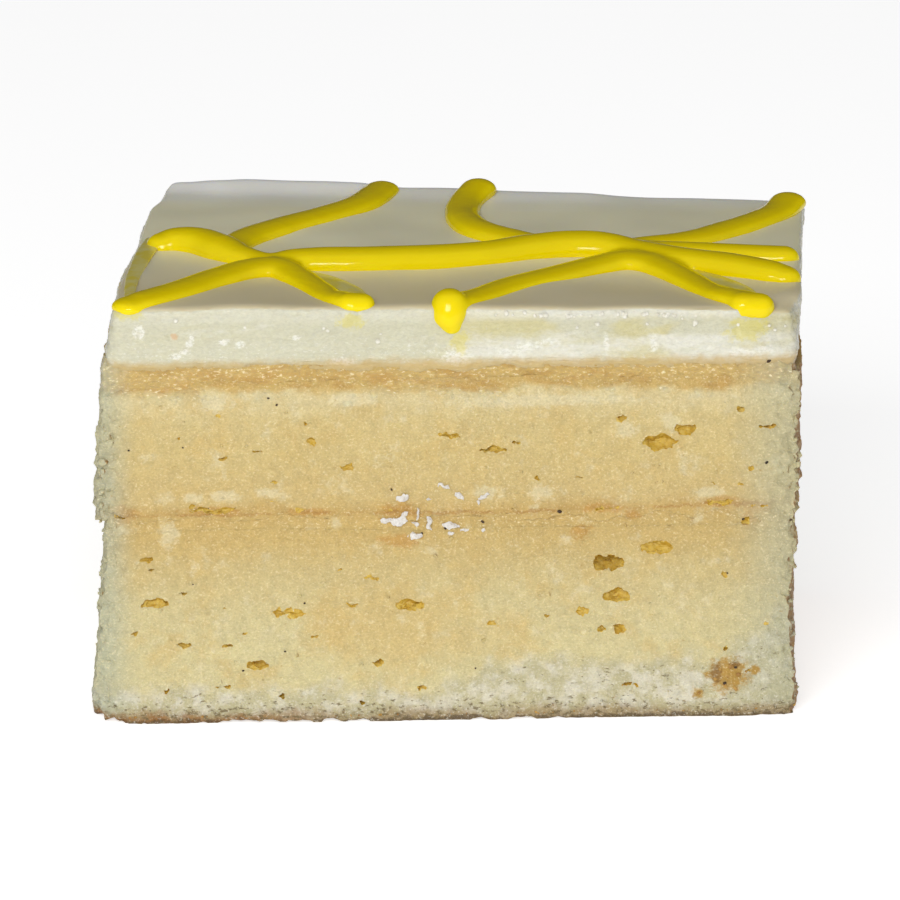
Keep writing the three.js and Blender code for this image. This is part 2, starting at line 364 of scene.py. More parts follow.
def round_corners(piece, z, cell):
    """Wears the upright corners round."""
    for right, back, reach, strength in CORNERS:
        corner = plan_corner(right, back, z)
        middle = np.array(at(corner.x, corner.y, 0))[:2]
        select_points(piece, lambda co: np.linalg.norm(co[:, :2] - middle, axis=1) < reach * MM)
        repeat = max(1, round(strength * (CELL / cell) ** 2))
        bpy.ops.mesh.vertices_smooth(factor=0.5, repeat=repeat, xaxis=True, yaxis=True, zaxis=False)
        leave_edit()


def refine_sides(piece, cuts):
    """Cuts the faces of the sides, but not the flat ends, into fine cells."""
    select_faces(piece, lambda normal: np.abs(normal[:, Z]) < 0.6)
    bpy.ops.mesh.subdivide(number_cuts=cuts)
    leave_edit()


def layer(name, heights, bulges, left, right):
    """A block of one layer, ready for its relief."""
    piece = block(name, heights, bulges, left, right, narrower=(BACK_TAPER, BACK_TAPER))
    gridded(piece, heights[1] - heights[0], CELL)
    round_corners(piece, heights[0], CELL)
    refine_sides(piece, FINE_CUTS)
    return piece


def torn_rim(piece, z, depth, sway, tuck):
    """Makes the layer's edge at a height wander every way, and tucks it behind its neighbour."""
    group = new_group(piece)
    for reach, weight in ((2.4, 0.2), (1.9, 0.4), (1.4, 0.6), (0.9, 0.8), (0.4, 1.0)):
        select_points(piece, lambda co: np.abs(co[:, Z] - z * MM) < reach * MM)
        weigh_selection(weight)
    relief(piece, SWAY, sway, group=group)
    fold = piece.modifiers.new("tuck", "DISPLACE")
    fold.strength = -tuck * MM
    fold.mid_level = 0
    fold.vertex_group = group
    apply(piece, fold)
    relief(piece, TORN, depth, "Z", group=group)


def ragged_corners(piece, depth):
    """Tears the upright corners, where crumbs have come away."""
    group = new_group(piece)
    for reach, weight in ((5.0, 0.3), (3.4, 0.65), (2.0, 1.0)):
        select_points(piece, near_corners(reach))
        weigh_selection(weight)
    relief(piece, CORNER_TEAR, depth, "RGB_TO_XYZ", group=group)


def crumb_relief(piece):
    relief(piece, WARP, 1.2, "RGB_TO_XYZ")
    relief(piece, CLUMPS, 0.35)
    relief(piece, CRUMPLE, 0.3, "RGB_TO_XYZ")
    relief(piece, GRAINS, 0.3)


def near_sides(co, reach):
    """Which points are within some millimetres of one of the four sides."""
    inside = np.zeros(len(co), dtype=bool)
    for start, end in face_frames(FOOT):
        run = (end - start).normalized()
        offset = co[:, :2] / MM - np.array(start + PLAN_ZERO.xy)
        inside |= np.abs(offset[:, X] * run.y - offset[:, Y] * run.x) < reach
    return inside


# The foot's front left corner has broken away: how far it is drawn in, in millimetres
FOOT_CORNER_PULL = (1.4, 0.6, 0.5)


def ragged_foot(piece):
    """Breaks up the foot's edge and presses the foot flat where the slice stands."""
    drawn(piece, near(corner_at(0, 0, FOOT), 1.2), FOOT_CORNER_PULL, 4.0)
    group = new_group(piece)
    select_points(piece, lambda co: (co[:, Z] < 1.2 * MM) & near_sides(co, 2.2))
    weigh_selection(1.0)
    relief(piece, FOOT_TEAR, 1.3, "Z", group=group)
    select_points(piece, lambda co: co[:, Z] < 0.12 * MM)
    bpy.ops.transform.resize(value=(1, 1, 0), center_override=(0, 0, 0))
    leave_edit()


# Air holes of the cut face: place across, height, width and height of the mouth, and depth in millimetres
LOWER_HOLES = [
    (21.2, 21.8, 4.3, 2.2, 3.0), (22.5, 17.4, 4.0, 1.8, 1.5), (18.2, 15.2, 2.2, 1.1, 0.7),
    (20.4, 12.8, 1.2, 1.0, 0.9), (22.7, 12.7, 1.6, 1.6, 1.2), (27.6, 24.0, 4.5, 1.8, 1.2),
    (-4.7, 15.9, 4.2, 1.4, 1.0), (-9.5, 19.7, 2.5, 0.8, 0.6), (-13.6, 20.6, 1.1, 0.5, 0.7),
    (-8.8, 8.0, 1.6, 0.7, 0.8), (6.3, 13.4, 2.5, 1.1, 0.4), (-12.1, 16.0, 1.5, 0.4, 0.4),
    (-3.0, 4.7, 1.0, 0.8, 0.5), (-37.9, 16.2, 3.6, 1.4, 0.8), (-20.7, 14.8, 4.5, 1.5, 0.6),
    (-34.3, 10.3, 2.2, 0.8, 0.8), (-28.5, 10.2, 1.3, 0.4, 0.6), (-24.6, 7.8, 3.1, 1.1, 1.0),
    (-38.9, 21.9, 1.8, 0.6, 0.8), (-28.8, 15.0, 1.0, 0.4, 0.5), (-17.2, 11.6, 0.9, 0.4, 0.6),
    (-36.5, 3.9, 1.0, 0.5, 0.7), (-29.1, 4.7, 2.0, 0.4, 0.6), (-21.5, 3.5, 1.1, 1.0, 0.8),
    (36.7, 20.4, 1.0, 1.0, 0.7), (36.7, 10.2, 0.9, 0.7, 0.6), (23.8, 5.2, 1.1, 0.6, 0.5),
    (39.9, 7.3, 0.8, 0.6, 0.5), (42.0, 13.6, 1.0, 0.7, 0.5), (-10.9, 2.5, 0.8, 0.6, 0.6),
]
UPPER_HOLES = [
    (27.8, 38.4, 4.5, 2.0, 1.1), (31.2, 40.3, 2.6, 1.6, 0.8), (6.2, 37.3, 3.8, 0.9, 0.6),
    (-12.8, 34.7, 2.2, 1.1, 0.9), (-17.4, 38.2, 1.2, 1.1, 0.9), (22.8, 41.6, 1.3, 1.1, 0.9),
    (0.5, 39.2, 3.0, 0.9, 0.5), (-22.3, 32.7, 1.2, 0.9, 0.5), (-29.7, 41.4, 0.9, 0.9, 0.5),
    (38.4, 42.9, 0.8, 0.7, 0.6), (42.0, 40.6, 2.6, 0.6, 0.8), (39.7, 34.8, 1.0, 0.7, 0.5),
    (38.2, 32.9, 0.8, 0.4, 0.5), (17.6, 33.4, 1.5, 0.5, 0.6), (11.8, 33.4, 1.1, 0.4, 0.6),
    (-24.5, 37.0, 0.9, 0.4, 0.4),
]
SEAM_CRACKS = [
    (-30.5, 28.9, 6.4, 0.7, 0.5), (-33.0, 29.4, 0.9, 0.8, 0.4), (-22.8, 30.0, 1.5, 0.6, 0.4),
    (-18.9, 28.8, 2.0, 0.7, 0.5), (-16.0, 28.4, 3.4, 0.5, 0.4), (-42.3, 28.0, 1.6, 0.6, 0.4),
    (36.1, 30.2, 5.0, 0.7, 0.4), (40.8, 29.7, 2.4, 0.7, 0.4), (20.5, 29.3, 4.4, 0.6, 0.4),
    (39.1, 27.7, 1.2, 1.1, 0.4), (-7.4, 28.9, 3.0, 0.6, 0.4),
]

# Large and small holes drawn at random for a side; the right side, number 1, is browned crust and has none
SIDE_HOLES = 9
SMALL_HOLES = 6
CRUST_SIDE = 1

# How much wider, taller and deeper the filling's share of a hole is, so that no two walls lie on each other
FILLING_ROOM = (0.5, 0.4, 0.3)


def air_hole(place, wide, tall, deep, turn):
    """A lens with pointed ends, lying along the side."""
    bpy.ops.mesh.primitive_ico_sphere_add(
        subdivisions=4 if wide > 2 else 3,
        radius=1,
        location=place,
        rotation=(0, 0, turn),
        scale=(wide / 2 * MM, deep * MM, tall / 2 * MM),
    )
    hole = bpy.context.object
    select_points(hole, lambda co: np.abs(co[:, X]) > 0.75)
    bpy.ops.transform.resize(value=(1.25, 0.6, 0.4), orient_type="LOCAL", center_override=place)
    leave_edit()
    return hole


def front_holes(named):
    slant = math.atan2(FRONT_SLANT, WIDTH)
    return [air_hole(at(*on_face(x, z)), wide, tall, deep, slant) for x, z, wide, tall, deep in named]


def side_holes(low, high, seed):
    """Holes like those of the cut face on the back and the left, and a few small ones on all three."""
    draw = random.Random(seed)
    holes = []
    for side, (start, end) in enumerate(face_frames((low + high) / 2)):
        if side == CRUST_SIDE:
            continue
        run = end - start
        turn = math.atan2(run.y, run.x)
        sizes = [draw.uniform(1.4, 4.4) for _ in range(SIDE_HOLES if side else 0)]
        sizes += [draw.uniform(0.6, 1.2) for _ in range(SMALL_HOLES)]
        for wide in sizes:
            spot = start + run * draw.uniform(0.04, 0.96)
            place = at(*spot, draw.uniform(low + 2.5, high - 2.5))
            holes.append(air_hole(place, wide, wide * draw.uniform(0.3, 0.5), min(1.2, 0.6 * wide), turn))
    return holes


def bored(piece, holes, wall):
    """Cuts the holes with ragged edges; their walls keep a finish of their own."""
    cutter = joined(holes, "air_holes")
    relief(cutter, HOLE_EDGE, 1.1, "RGB_TO_XYZ")
    relief(cutter, HOLE_CRUMB, 0.45)
    cutter.data.materials.append(wall)
    modifier = piece.modifiers.new("holes", "BOOLEAN")
    modifier.operation = "DIFFERENCE"
    modifier.solver = "MANIFOLD"
    modifier.material_mode = "TRANSFER"
    modifier.object = cutter
    apply(piece, modifier)
    bpy.data.objects.remove(cutter)


# Each layer's low and high end: neighbours cross at a slant near their boundary, so no gap opens between them
LOWER_ENDS = (FOOT, FILLING_BOTTOM + 2.3)
FILLING_ENDS = (FILLING_BOTTOM - 2.4, SEAM + 1.8)
UPPER_ENDS = (SEAM - 0.8, CURD_BOTTOM + 1.3)
CURD_ENDS = (CURD_BOTTOM - 2.1, ICING_BOTTOM + 1.8)
ICING_ENDS = (ICING_BOTTOM - 1.5, ICING_TOP)


def lower_sponge(crumb, wall):
    piece = layer("lower_sponge_crumb", LOWER_ENDS, (0.2, -0.45), left=(0.5, 0.0), right=(-0.3, -0.1))
    crumb_relief(piece)
    ragged_corners(piece, 1.5)
    ragged_foot(piece)
    piece.data.materials.append(crumb)
    bored(piece, front_holes(LOWER_HOLES) + side_holes(FOOT, FILLING_BOTTOM, 11), wall)
    return piece


def soaked_filling(crumb, wall):
    piece = layer("soaked_filling", FILLING_ENDS, (-0.75, -0.2), left=(0.3, 0.0), right=(-0.4, -0.8))
    crumb_relief(piece)
    ragged_corners(piece, 1.5)
    piece.data.materials.append(crumb)
    shared = [hole for hole in LOWER_HOLES if hole[1] > FILLING_ENDS[0] - 1] + SEAM_CRACKS
    wider, taller, deeper = FILLING_ROOM
    roomier = [(x, z, wide + wider, tall + taller, deep + deeper) for x, z, wide, tall, deep in shared]
    bored(piece, front_holes(roomier), wall)
    return piece


def upper_sponge(crumb, wall):
    piece = layer("upper_sponge_crumb", UPPER_ENDS, (0.0, -0.35), left=(1.2, 1.3), right=(-0.3, 0.7))
    torn_rim(piece, UPPER_ENDS[0], 2.4, 1.2, 0.2)
    crumb_relief(piece)
    ragged_corners(piece, 1.8)
    piece.data.materials.append(crumb)
    bored(piece, front_holes(UPPER_HOLES + SEAM_CRACKS) + side_holes(SEAM, CURD_BOTTOM, 12), wall)
    return piece


def knife_smears(piece, depth, group=""):
    """Relief along the sides, by a stretched guide."""
    bpy.ops.object.empty_add(location=(0, 0, 0))
    guide = bpy.context.object
    guide.scale = (3.5, 3.5, 1.0)
    bpy.context.view_layer.update()
    relief(piece, SMEARS, depth, guide=guide, group=group)
    bpy.data.objects.remove(guide)


def wet_curd(gel):
    piece = layer("wet_curd", CURD_ENDS, (-0.4, -0.2), left=(1.3, 1.1), right=(-0.1, -0.7))
    relief(piece, WARP, 1.2, "RGB_TO_XYZ")
    knife_smears(piece, 0.5)
    relief(piece, RIPPLES, 0.4)
    relief(piece, GRAINS, 0.3)
    ragged_corners(piece, 1.0)
    piece.data.materials.append(gel)
    return piece


# Folds that the knife left on the icing's cut face: ends across, height, push forward and reach
ICING_FOLDS = [
    (5, 44, 49.6, 0.3, 1.4), (6, 43, 50.9, 0.4, 1.8), (9, 42, 52.3, 0.3, 1.4), (4, 44, 53.6, -0.35, 1.8),
    (-43, -2, 50.6, 0.25, 2.6), (-43, -28, 52.6, 0.2, 2.4), (-4, 4, 49.6, 0.4, 2.4),
]

# Stretches of the icing's back rim that stand up: ends across, lift and reach in millimetres
BACK_RIMS = [(-44, -11, 1.2, 4.5), (-8, 20, 0.4, 5.0)]

# The icing's back right corner stands out and its front right corner has sunk in, by so many millimetres
BACK_CORNER = (42, 52)
BACK_CORNER_PULL = (0.8, 0, 0)
FRONT_CORNER_PULL = (-0.9, 0.5, -0.9)


def on_front(left, right, z):
    """A test for the points of a stretch of the cut face."""
    def chosen(co):
        x = co[:, X] / MM - PLAN_ZERO.x
        face = (front_y(x) + PLAN_ZERO.y) * MM
        level = np.abs(co[:, Z] - z * MM) < 0.7 * MM
        return (x > left) & (x < right) & (co[:, Y] < face + MM) & level
    return chosen


def on_back_rim(left, right):
    """A test for the points along the icing's back edge."""
    def chosen(co):
        x = co[:, X] / MM - PLAN_ZERO.x
        edge = (back_y(x) + PLAN_ZERO.y) * MM
        high = co[:, Z] > (ICING_TOP - 1.2) * MM
        return (x > left) & (x < right) & (co[:, Y] > edge - 1.5 * MM) & high
    return chosen


def white_icing(cream):
    piece = block(
        "white_icing", ICING_ENDS, (0.0, 0.0), left=(0.8, -0.5), right=(-0.2, 0.1), narrower=(1.4, 0.0),
    )
    gridded(piece, ICING_ENDS[1] - ICING_ENDS[0], ICING_CELL)
    round_corners(piece, ICING_TOP, ICING_CELL)
    for left, right, z, push, reach in ICING_FOLDS:
        drawn(piece, on_front(left, right, z), (0, -push, 0), reach)
    for left, right, lift, reach in BACK_RIMS:
        drawn(piece, on_back_rim(left, right), (0, 0, lift), reach)
    drawn(piece, on_back_rim(*BACK_CORNER), BACK_CORNER_PULL, 9.0)
    drawn(piece, near(corner_at(1, 0, ICING_TOP), 2.5), FRONT_CORNER_PULL, 5.0)
    soften = piece.modifiers.new("soften", "SUBSURF")
    soften.levels = 2
    soften.render_levels = 2
    apply(piece, soften)
    refine_sides(piece, 1)
    torn_rim(piece, ICING_ENDS[0], 2.2, 0.5, 0.6)
    relief(piece, WARP, 0.7, "RGB_TO_XYZ")
    sides = new_group(piece)
    select_faces(piece, lambda normal: np.abs(normal[:, Z]) < 0.5)
    weigh_selection(1.0)
    knife_smears(piece, 0.7, sides)
    relief(piece, RIPPLES, 0.3, group=sides)
    piece.data.materials.append(cream)
    return piece


# Bubbles in the icing's cut face: ends across, least and most depth under the top, and how many
BUBBLE_ROWS = [(6, 34, 0.7, 1.3, 44), (-41, -6, 1.5, 6.5, 14), (6, 44, 1.5, 3.2, 10)]
BUBBLE_RADII = (0.18, 0.38)


def icing_bubbles(skin):
    draw = random.Random(8)
    copies = []
    for left, right, least, most, count in BUBBLE_ROWS:
        for _ in range(count):
            x = draw.uniform(left, right)
            radius = draw.uniform(*BUBBLE_RADII)
            place = at(x, front_y(x) + draw.uniform(0.0, 0.2), icing_height(x) - draw.uniform(least, most))
            copies.append((place, (radius, radius, radius * draw.uniform(0.8, 1.1)), (0, 0, 0)))
    piece = scattered("icing_bubbles", 2, copies)
    piece.data.materials.append(skin)
    return piece


# Piped strands: flatness, and points along each: across, back, lift of the bead's middle, and its radius
STRANDS = {
    "left_arch": (0.5, [
        (-40.8, -29.2, -0.7, 2.5), (-39.2, -27.8, -0.5, 2.8), (-35.0, -23.6, -0.4, 2.9),
        (-29.5, -17.2, 0, 2.9), (-25.2, -13.6, 0.5, 2.9), (-22.2, -13.2, 0.6, 2.9), (-19.6, -16.2, 0, 2.6),
        (-17.0, -20.8, -0.4, 2.3), (-14.6, -25.4, -0.4, 2.2), (-12.6, -27.8, 0.1, 2.3),
        (-12.0, -28.2, -0.2, 2.2),
    ]),
    "left_drop": (0.9, [(-12.4, -28.4, -0.2, 1.9), (-10.8, -28.3, -0.2, 1.8)]),
    "left_back_arm": (0.5, [
        (-8.8, 27.8, 0.1, 2.6), (-9.6, 25.4, 0, 2.7), (-11.6, 20.6, -0.2, 2.8), (-16.0, 14.8, -0.2, 2.8),
        (-22.4, 7.8, 0, 2.8), (-27.0, 1.6, 0.1, 2.7), (-28.2, -3.4, 0.2, 2.4), (-27.0, -7.4, 0, 2.2),
    ]),
    "spine": (0.8, [
        (-37.6, -1.4, 0.1, 2.3), (-36.0, -0.9, 0.4, 2.7), (-33.0, -1.8, 0.6, 2.9), (-29.4, -5.4, 0.5, 2.9),
        (-26.6, -8.2, 0.1, 2.4), (-23.2, -9.4, -0.2, 2.0), (-20.2, -9.8, 0.2, 2.5), (-16.0, -9.8, 0.3, 2.8),
        (-8.5, -9.2, 0.3, 2.8), (5.3, -6.0, 0.3, 2.7), (11.0, -3.4, 0.5, 2.8), (16.0, -1.9, 0.6, 2.9),
        (20.6, -2.2, 0.6, 2.9), (25.5, -4.6, 0.3, 2.6), (31.0, -7.6, 0.2, 2.6), (37.5, -10.6, 0.2, 2.7),
        (42.8, -13.4, 0, 2.6), (44.4, -14.2, -0.2, 2.3),
    ]),
    "right_twig": (0.8, [
        (24.0, -2.2, 0, 2.2), (31.9, -2.8, 0, 2.2), (38.0, -3.6, 0, 2.2), (44.8, -4.2, 0, 2.1),
    ]),
    "middle_back_arm": (0.62, [
        (4.4, 26.6, 1.1, 2.6), (2.9, 22.8, 0.2, 2.5), (2.2, 17.4, -0.2, 2.5), (3.0, 11.0, 0, 2.6),
        (5.0, 6.4, 0.1, 2.7), (8.6, 3.0, 0.1, 2.6), (13.0, 0.2, 0, 2.4), (19.0, -2.4, 0, 2.4),
    ]),
    "right_back_arm": (0.56, [
        (46.4, 22.6, 0.6, 2.6), (44.8, 18.6, -0.1, 2.6), (42.0, 14.2, -0.2, 2.6), (37.2, 8.4, -0.1, 2.6),
        (32.0, 3.4, 0, 2.5), (26.5, 1.0, 0, 2.4), (20.0, -2.0, 0, 2.4),
    ]),
    "right_arch": (0.5, [
        (0.8, -27.4, 0, 2.7), (3.6, -24.6, -0.5, 2.5), (8.5, -18.9, -0.5, 2.7), (15.1, -13.4, -0.3, 2.8),
        (20.5, -9.4, 0.3, 2.8), (23.6, -8.0, 0.8, 2.9), (26.2, -8.6, 0.7, 2.9), (28.8, -11.2, 0.3, 2.7),
        (31.8, -15.8, -0.2, 2.4), (34.6, -20.8, -0.3, 2.2), (36.8, -23.8, 0, 2.4), (38.7, -25.4, 0.1, 2.5),
    ]),
    "right_drop": (0.9, [(38.5, -26.2, -0.4, 2.1), (40.7, -26.0, -0.5, 2.0)]),
    "hanging_drop": (1.0, [(0.5, -28.2, -0.3, 2.5), (0.5, -28.7, -1.3, 2.4), (0.7, -28.5, -2.3, 1.7)]),
}
STRAND_VOXEL = 0.3
STRAND_SMOOTHING = 18

# Thin films of lemon icing beside the strands, in the same terms
FILMS = {
    "left_film": (0.2, [
        (-20.0, -13.6, 0.2, 1.8), (-16.0, -17.8, 0.5, 2.2), (-12.9, -23.0, 0.5, 2.3),
        (-11.4, -27.0, 0.2, 1.8),
    ]),
    "right_film": (0.2, [
        (30.6, -10.8, 0.2, 1.8), (34.4, -15.2, 0.5, 2.3), (37.6, -20.2, 0.5, 2.4), (39.6, -24.6, 0.2, 1.8),
    ]),
    "edge_film": (0.25, [
        (-38.8, 1.0, 0.4, 1.4), (-39.6, -4.4, 0.5, 1.4), (-40.3, -11.0, 0.6, 1.2), (-40.9, -18.0, 0.6, 1.0),
        (-41.0, -27.4, 0.4, 0.8),
    ]),
}
FILM_VOXEL = 0.16
FILM_SMOOTHING = 12


def strand(flatness, route):
    """One piped bead along its route, with round ends, pressed towards the icing."""
    bpy.ops.curve.primitive_bezier_curve_add(location=(0, 0, 0))
    path = bpy.context.object
    spline = path.data.splines[0]
    spline.bezier_points.add(len(route) - len(spline.bezier_points))
    for point, (x, y, lift, radius) in zip(spline.bezier_points, route):
        point.co = at(x, y, icing_height(x) + lift)
        point.handle_left_type = "AUTO"
        point.handle_right_type = "AUTO"
        point.radius = radius
    path.data.bevel_depth = MM
    path.data.bevel_resolution = 5
    path.data.resolution_u = 16
    path.data.use_fill_caps = True
    only(path)
    bpy.ops.object.convert(target="MESH")
    parts = [bpy.context.object]
    for x, y, lift, radius in (route[0], route[-1]):
        end = at(x, y, icing_height(x) + lift)
        bpy.ops.mesh.primitive_ico_sphere_add(subdivisions=4, radius=radius * MM, location=end)
        parts.append(bpy.context.object)
    bead = joined(parts, "bead")
    level = icing_height((route[0][X] + route[-1][X]) / 2)
    select_points(bead, lambda co: np.ones(len(co), dtype=bool))
    bpy.ops.transform.resize(value=(1, 1, flatness), center_override=at(0, 0, level))
    leave_edit()
    return bead


def piped(name, routes, voxel, smoothing, lemon):
    """Pipes a bead along each route, and fuses the beads into one smooth piece."""
    piece = joined([strand(*values) for values in routes.values()], name)
    fuse = piece.modifiers.new("fuse", "REMESH")
    fuse.mode = "VOXEL"
    fuse.voxel_size = voxel * MM
    apply(piece, fuse)
    soften = piece.modifiers.new("soften", "SMOOTH")
    soften.factor = 0.5
    soften.iterations = smoothing
    apply(piece, soften)
    piece.data.materials.append(lemon)
    return piece


# Flakes on the cut face: across, height, length, width and turn in degrees
FLAKES = [
    (-5.9, 27.5, 2.2, 1.2, 10), (-5.4, 28.3, 1.5, 0.7, 65), (-6.9, 27.4, 1.4, 0.8, -15),
    (-4.0, 27.1, 1.0, 0.5, -30), (-8.0, 27.5, 1.1, 0.5, 0), (-5.6, 30.6, 1.7, 0.8, 18),
    (-3.6, 28.5, 1.8, 0.4, 95), (-2.2, 27.5, 2.6, 0.5, 102), (0.6, 26.9, 2.2, 0.8, 5),
    (2.5, 26.3, 1.1, 0.6, 10), (0.4, 25.8, 1.1, 0.5, 0), (-4.0, 25.4, 2.1, 0.9, 12),
    (-0.3, 32.4, 1.8, 0.6, -8), (1.8, 31.1, 1.4, 0.6, -35), (5.1, 31.0, 1.7, 0.5, 25),
    (4.3, 30.5, 0.8, 0.4, 20), (4.8, 26.3, 0.6, 0.5, 60), (-2.2, 30.5, 0.8, 0.4, 5),
]
FLAKE_THICKNESS = 0.45
FLAKE_PROUD = 0.1

# Dark specks on the cut face: across, height and size
SPECKS = [
    (41.9, 49.4, 0.5), (41.8, 35.4, 0.4), (14.8, 28.9, 0.55), (4.8, 27.4, 0.4), (-7.0, 31.7, 0.3),
    (39.2, 27.7, 0.35), (-22.9, 44.1, 0.3), (-21.9, 43.2, 0.3), (-34.1, 37.4, 0.25), (-3.1, 25.7, 0.3),
    (-0.1, 26.5, 0.35), (36.6, 5.4, 0.4), (38.0, 7.6, 0.4), (-41.1, 37.0, 0.25), (-26.5, 6.9, 0.3),
    (-18.4, 16.1, 0.25), (-33.0, 18.8, 0.2), (-21.0, 9.6, 0.3), (3.9, 7.3, 0.25), (36.9, 20.5, 0.25),
]
SPECK_THICKNESS = 0.3
SPECK_PROUD = 0.06


def on_surface(layers, place, proud):
    """The nearest place on the outermost of some layers, lifted off it by some millimetres."""
    found = [piece.closest_point_on_mesh(place)[1:3] for piece in layers]
    spot, normal = max(found, key=lambda hit: hit[0].xy.length - 3 * abs(hit[0].z - place.z))
    return spot + normal * proud * MM


def on_cut_face(layers, spots, draw, thickness, proud):
    """Places on the cut face: each spot is across, height, length, width and turn in degrees."""
    copies = []
    for x, z, long, wide, turn in spots:
        turns = (draw.uniform(-0.4, 0.4), -math.radians(turn), draw.uniform(-0.3, 0.3))
        place = on_surface(layers, at(*on_face(x, z)), proud)
        copies.append((place, (long / 2, thickness / 2, wide / 2), turns))
    return copies


def white_flakes(flesh, layers):
    copies = on_cut_face(layers, FLAKES, random.Random(5), FLAKE_THICKNESS, FLAKE_PROUD)
    piece = scattered("white_flakes", 4, copies)
    relief(piece, clouds("flake_curl", 0.9, 2, True), 0.8, "RGB_TO_XYZ")
    relief(piece, clouds("flake_edge", 0.4, 1, True), 0.3, "RGB_TO_XYZ")
    piece.data.materials.append(flesh)
    return piece


def dark_specks(char, layers):
    draw = random.Random(6)
    spots = [(x, z, size * 1.2, size * 0.8, draw.uniform(-60, 60)) for x, z, size in SPECKS]
    copies = on_cut_face(layers, spots, draw, SPECK_THICKNESS, SPECK_PROUD)
    piece = scattered("dark_specks", 3, copies)
    relief(piece, clouds("speck_shape", 0.4, 1), 0.15)
    piece.data.materials.append(char)
    return piece


# Crumbs that cling to each side and to three upright corners, their sizes, and how deep they are stuck on
SIDE_CRUMBS = 60
CORNER_CRUMBS = 60
CRUMB_SIZES = (0.2, 0.4)
CRUMB_PROUD = -0.1
CRUMB_SHAPE = clouds("crumb_shape", 0.35, 2, True)

# Tufts that stand out from the front corners: left or right, height and size
TUFTS = [
    (0, 36.0, 0.9), (0, 34.8, 0.6), (0, 31.6, 0.6), (0, 30.0, 0.6), (0, 22.4, 0.5), (0, 18.4, 0.4),
    (0, 3.4, 0.5), (1, 40.4, 0.7), (1, 37.6, 0.4), (1, 34.4, 0.5), (1, 31.0, 0.4),
]
TUFT_PROUD = 0.1


def crumb_copy(draw, place, size):
    sizes = [size * draw.uniform(0.6, 1.0) for _ in range(3)]
    turns = [draw.uniform(-3, 3) for _ in range(3)]
    return (place, sizes, turns)


def clinging_crumbs(crumb, layers):
    draw = random.Random(21)
    copies = []
    for start, end in face_frames(CURD_BOTTOM / 2):
        for _ in range(SIDE_CRUMBS):
            spot = start + (end - start) * draw.uniform(0.02, 0.98)
            place = on_surface(layers, at(*spot, draw.uniform(1, CURD_BOTTOM - 1)), CRUMB_PROUD)
            copies.append(crumb_copy(draw, place, draw.uniform(*CRUMB_SIZES)))
    for right, back in ((0, 0), (1, 0), (1, 1)):
        for _ in range(CORNER_CRUMBS):
            z = draw.uniform(1, CURD_BOTTOM)
            spot = plan_corner(right, back, z) + Vector((0, (1 - 2 * back) * draw.uniform(0, 2.5)))
            place = on_surface(layers, at(*spot, z), CRUMB_PROUD)
            copies.append(crumb_copy(draw, place, draw.uniform(*CRUMB_SIZES)))
    for right, z, size in TUFTS:
        place = on_surface(layers, corner_at(right, 0, z), TUFT_PROUD)
        copies.append(crumb_copy(draw, place, size))
    piece = scattered("clinging_crumbs", 1, copies)
    relief(piece, CRUMB_SHAPE, 0.6, "RGB_TO_XYZ")
    piece.data.materials.append(crumb)
    return piece


# Browned crumbs in the toasted spot at the lower right: across, height and size
TOASTED_CRUMBS = [
    (36.0, 7.3, 0.4), (37.4, 7.6, 0.6), (38.4, 6.6, 0.5), (35.4, 6.0, 0.4), (36.6, 5.0, 0.4),
    (38.0, 4.6, 0.6), (33.2, 4.0, 0.5), (39.4, 7.0, 0.3), (37.0, 6.4, 0.4),
]

# Browned crumbs along the foot of each side, and their sizes
FOOT_CRUMBS = 40
FOOT_CRUMB_SIZES = (0.12, 0.3)


def browned_crumbs(toast, layers):
    draw = random.Random(22)
    copies = []
    for x, z, size in TOASTED_CRUMBS:
        copies.append(crumb_copy(draw, on_surface(layers, at(*on_face(x, z)), -0.4 * size), size))
    for start, end in face_frames(FOOT):
        for _ in range(FOOT_CRUMBS):
            spot = start + (end - start) * draw.uniform(0.01, 0.99)
            size = draw.uniform(*FOOT_CRUMB_SIZES)
            place = on_surface(layers, at(*spot, 0.6 + size), CRUMB_PROUD)
            place.z = max(place.z, (size + 0.2) * MM)
            copies.append(crumb_copy(draw, place, size))
    piece = scattered("browned_crumbs", 1, copies)
    relief(piece, CRUMB_SHAPE, 0.35, "RGB_TO_XYZ")
    piece.data.materials.append(toast)
    return piece


# Finishes

def srgb(red, green, blue):
    """A colour as seen on a screen, 0 to 255, as the shader's linear colour."""
    def linear(value):
        share = value / 255
        return share / 12.92 if share <= 0.04045 else ((share + 0.055) / 1.055) ** 2.4
    return (linear(red), linear(green), linear(blue), 1.0)


def fill(tree, node, sockets):
    """Fills a node's sockets with values or with other nodes' outputs."""
    for name, value in sockets.items():
        if isinstance(value, bpy.types.NodeSocket):
            tree.links.new(value, node.inputs[name])
        else:
            node.inputs[name].default_value = value


def add(tree, kind, sockets, **settings):
    """Adds a shader node and fills its sockets."""
    node = tree.nodes.new("ShaderNode" + kind)
    for name, value in settings.items():
        setattr(node, name, value)
    fill(tree, node, sockets)
    return node


def new_finish(name):
    finish = bpy.data.materials.new(name)
    finish.use_nodes = True
    tree = finish.node_tree
    shader = tree.nodes["Principled BSDF"]
    place = add(tree, "TexCoord", {}).outputs["Object"]
    return finish, tree, shader, place


def stretched(tree, place, scale, shift=(0, 0, 0)):
    return add(tree, "Mapping", {"Vector": place, "Scale": scale, "Location": shift}).outputs["Vector"]


def streaky(tree, place, share):
    """Draws a pattern out along the sides: it varies only by a share of what it does upwards."""
    return stretched(tree, place, (share, share, 1))


def elsewhere(tree, place):
    """Far from the slice, where a pattern doesn't follow the one that is on it."""
    return stretched(tree, place, (1, 1, 1), (0.31, 0.17, 0.05))


